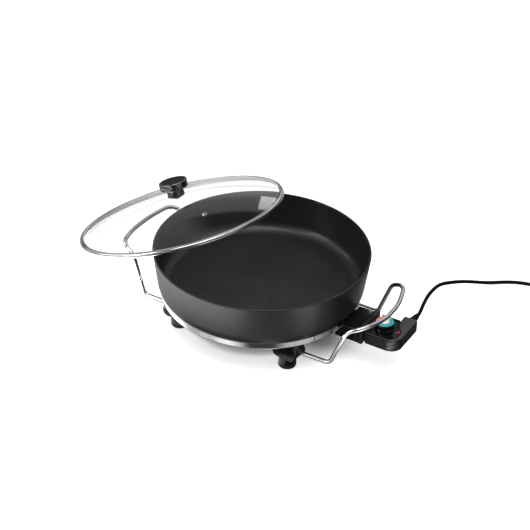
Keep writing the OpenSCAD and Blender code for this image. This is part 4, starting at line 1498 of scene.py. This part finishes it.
@dataclass
class Lid:
    """The loose glass lid with its steel band, vent and knob."""

    middle: Vector = field(default_factory=lambda: Vector((-212.3, 53.6, 132.9)) * MM)
    tilt: float = math.radians(19.97)
    turn: float = math.radians(169)
    radius: float = 201.3 * MM
    band_h: float = 9 * MM
    band_t: float = 1 * MM
    band_lip: float = 7 * MM
    band_play: float = 0.1 * MM
    crown_from: float = 0.35
    crown_fall: float = 0.42
    band_low_r: float = 2.2 * MM
    band_lip_r: float = 0.8 * MM
    seat_gap: float = 0.3 * MM
    glass_t: float = 4 * MM
    glass_edge: float = 2 * MM
    dome_h: float = 36 * MM
    knob_r: float = 27.5 * MM
    knob_t: float = 14 * MM
    knob_h: float = 30 * MM
    stem_r: float = 16.5 * MM
    knob_hollow: float = 1.2 * MM
    knob_low_r: float = 1.6 * MM
    knob_top_r: float = 1.8 * MM
    screw_r: float = 2.5 * MM

    def place(self, piece: Piece) -> Piece:
        """Moves a piece's mesh from the lid's own axes to where the lid lies.

        Args:
            piece: the piece, round the Z axis of the lid.

        Returns:
            The same piece, moved.
        """
        where = (Matrix.Translation(self.middle) @ Matrix.Rotation(self.turn, 4, "Z")
                 @ Matrix.Rotation(self.tilt, 4, "Y"))
        piece.data.transform(where)
        return piece

    def glass(self, lathe: Lathe) -> Piece:
        """The domed glass, with a rim that the band grips and a hole for the knob's screw.

        Args:
            lathe: the tree that turns outlines.

        Returns:
            The glass.
        """
        base = self.radius - self.band_lip - self.seat_gap
        outer_r = (base ** 2 + self.dome_h ** 2) / (2 * self.dome_h)
        centre = (0, self.dome_h - outer_r)
        inner_r = outer_r - self.glass_t
        hole = self.screw_r + MM
        flange = -self.band_t - self.band_play
        edge = self.radius - self.band_t - self.seat_gap / 3
        top = [math.degrees(math.acos(r / outer_r)) for r in (hole, base)]
        inner = base - self.glass_edge
        low = [math.degrees(math.acos(r / inner_r)) for r in (inner, hole)]
        outline = (arc(centre, outer_r, *top, 48)
                   + eased([(base, flange + 0.6 * MM), (base, flange), (edge, flange),
                            (edge, flange - self.glass_t), (inner, flange - self.glass_t)], 0.8 * MM)
                   + arc(centre, inner_r, *low, 48))
        return self.place(lathe.turn("lid_pane", outline, LID_GLASS, 256))

    def band(self, lathe: Lathe) -> Piece:
        """The rolled steel band round the glass.

        Args:
            lathe: the tree that turns outlines.

        Returns:
            The band.
        """
        r, h, t = self.radius, self.band_h, self.band_t
        inner = r - self.band_lip
        under = -t - self.band_play - self.glass_t - 2 * self.band_play
        middle = inner + self.crown_from * self.band_lip
        fall = self.crown_fall * h
        low_r, lip_r = self.band_low_r, self.band_lip_r
        turns = [math.pi / 2 * i / 16 for i in range(17)]
        outline = ([(inner, -0.5 * t)] + arc((inner + 0.5 * t, -0.5 * t), 0.5 * t, 180, 90, 4)
                   + [(middle + (r - middle) * math.sin(a), -fall * (1 - math.cos(a))) for a in turns]
                   + [(r, -0.5 * h)]
                   + arc((r - low_r, low_r - h), low_r, 0, -90, 10)
                   + arc((inner + lip_r, -h + lip_r), lip_r, -90, -180, 4)
                   + [(inner, under), (r - t, under), (r - t, -t), (inner, -t)])
        return self.place(lathe.turn("lid_rim_band", outline, BAND_STEEL, 256))

    def knob(self, lathe: Lathe) -> Piece:
        """The round knob: a disc with a slightly hollow top on a short stem.

        Args:
            lathe: the tree that turns outlines.

        Returns:
            The knob.
        """
        r, stem, low = self.knob_r, self.stem_r, self.dome_h + MM
        top = self.dome_h + self.knob_h
        low_r, top_r = self.knob_low_r, self.knob_top_r
        disc = top - self.knob_t
        hole = self.screw_r + 0.05 * MM
        outline = ([(0, disc + 4 * MM), (hole, disc + 4 * MM), (hole, low), (stem - 0.6 * MM, low)]
                   + eased([(stem, low + 0.6 * MM), (stem - 0.5 * MM, disc - 3 * MM),
                            (stem + 1.5 * MM, disc), (r - 3 * MM, disc)], 1.5 * MM, 5)
                   + arc((r - low_r, disc + low_r), low_r, -80, 0, 6)
                   + arc((r - top_r, top - top_r), top_r, 0, 90, 8)
                   + eased([(r - 3.2 * MM, top), (r - 4.6 * MM, top - 0.7 * MM),
                            (0.5 * r, top - 1.1 * MM), (0, top - self.knob_hollow)], MM, 4))
        grip = lathe.turn("lid_grip", outline, KNOB_SIDE, 128)
        paint(grip, KNOB_TOP, lambda face: face.normal.z > 0.9 and face.center.z > top - 1.5 * MM)
        return self.place(grip)

    def build(self, lathe: Lathe) -> None:
        """Makes the lid's pieces.

        Args:
            lathe: the tree that turns outlines.
        """
        glass = self.glass(lathe)
        glass.visible_shadow = False
        stand_for(glass, Body.LID, LID_GLASS, "lid_glass")
        stand_for(self.band(lathe), Body.LID, BAND_STEEL, "lid_band")
        stand_for(self.knob(lathe), Body.LID, KNOB_SIDE, "lid_knob")
        dress_nodes(BAND_STEEL, "vent_eyelet")
        dress_nodes(PAD_RUBBER, "knob_seal")
        dress_nodes(SCREW_STEEL, "knob_washer", "knob_screw")


# ---------------------------------------------------------------------------------------
# Socket and thermostat


@dataclass
class Thermostat:
    """The socket on the pan and the plug-in thermostat with its dial."""

    case_top: float = 80 * MM
    shell_ease: float = 0.6 * MM
    socket_ease: float = 0.7 * MM
    dial_axis: Point2 = (256 * MM, 1 * MM)
    dial_r: float = 18.5 * MM
    dial_low: float = 76.9 * MM
    dial_top: float = 91 * MM
    bore_r: float = 2.8 * MM
    bore_h: float = 6 * MM

    def upper(self) -> Piece:
        """The upper shell: a textured arm and border round a glossy deck.

        Returns:
            The shell.
        """
        shell = frame_copy("thermostat_upper", "upper_shell", CASING_GLOSS, self.shell_ease, 3)
        level = self.case_top - 0.3 * MM
        paint(shell, CASING_TEXTURE, lambda face: face.normal.z > 0.95 and face.center.z > level)
        return shell

    def dial_body(self, lathe: Lathe) -> Piece:
        """The dial: a black skirt and a printed top.

        Args:
            lathe: the tree that turns outlines.

        Returns:
            The dial.
        """
        r, low, top = self.dial_r, self.dial_low, self.dial_top
        bore_top = low + self.bore_h
        corners = [(0, bore_top), (self.bore_r, bore_top), (self.bore_r, low), (r, low),
                   (r, low + 3 * MM), (r - MM, low + 4 * MM), (r - 1.5 * MM, top - 1.2 * MM),
                   (r - 2.6 * MM, top), (0.55 * r, top), (0, top)]
        piece = lathe.turn("dial_cap", eased(corners, 0.5 * MM), CASING_GLOSS, 96)
        piece.data.transform(Matrix.Translation((*self.dial_axis, 0)))
        paint(piece, DIAL_SCALE, lambda face: face.normal.z > 0.7 and face.center.z > top - 0.6 * MM)
        return piece

    def build(self, lathe: Lathe) -> None:
        """Makes the socket's and the thermostat's pieces.

        Args:
            lathe: the tree that turns outlines.
        """
        socket = frame_copy("socket_housing", "socket_shell", PHENOLIC, self.socket_ease, 3)
        stand_for(socket, Body.PAN, PHENOLIC, "socket_housing")
        stand_for(self.upper(), Body.THERMOSTAT, CASING_GLOSS, "thermostat_upper")
        lower = frame_copy("thermostat_lower", "lower_shell", CASING_GLOSS, self.shell_ease, 3)
        stand_for(lower, Body.THERMOSTAT, CASING_GLOSS, "thermostat_lower")
        stand_for(self.dial_body(lathe), Body.DIAL, DIAL_SCALE, "dial")
        for finish, nodes in ((SCREW_STEEL, ("thermostat_probe",)),
                              (CONTACT_METAL, ("contact_sockets",)),
                              (CERAMIC, ("thermostat_switch",)),
                              (WIRE_COVER, ("inner_leads",)),
                              (LENS_RED, ("pilot_lens",)),
                              (LAMP_GLASS, ("pilot_lamp",)),
                              (SCREW_STEEL, ("shell_screws", "dial_spindle"))):
            dress_nodes(finish, *nodes)


def main() -> None:
    """Builds the studio and every sub-assembly in turn."""
    logging.basicConfig(level=logging.INFO, format="%(message)s")
    lathe, bender, copies = Lathe(), RodBender(), Copies()
    Studio().build()
    Lead().build(lathe, copies)
    Pan().build(lathe)
    Underside().build()
    Handles().build(bender)
    Brackets().build()
    Lid().build(lathe)
    Thermostat().build(lathe)


if __name__ == "__main__":
    main()
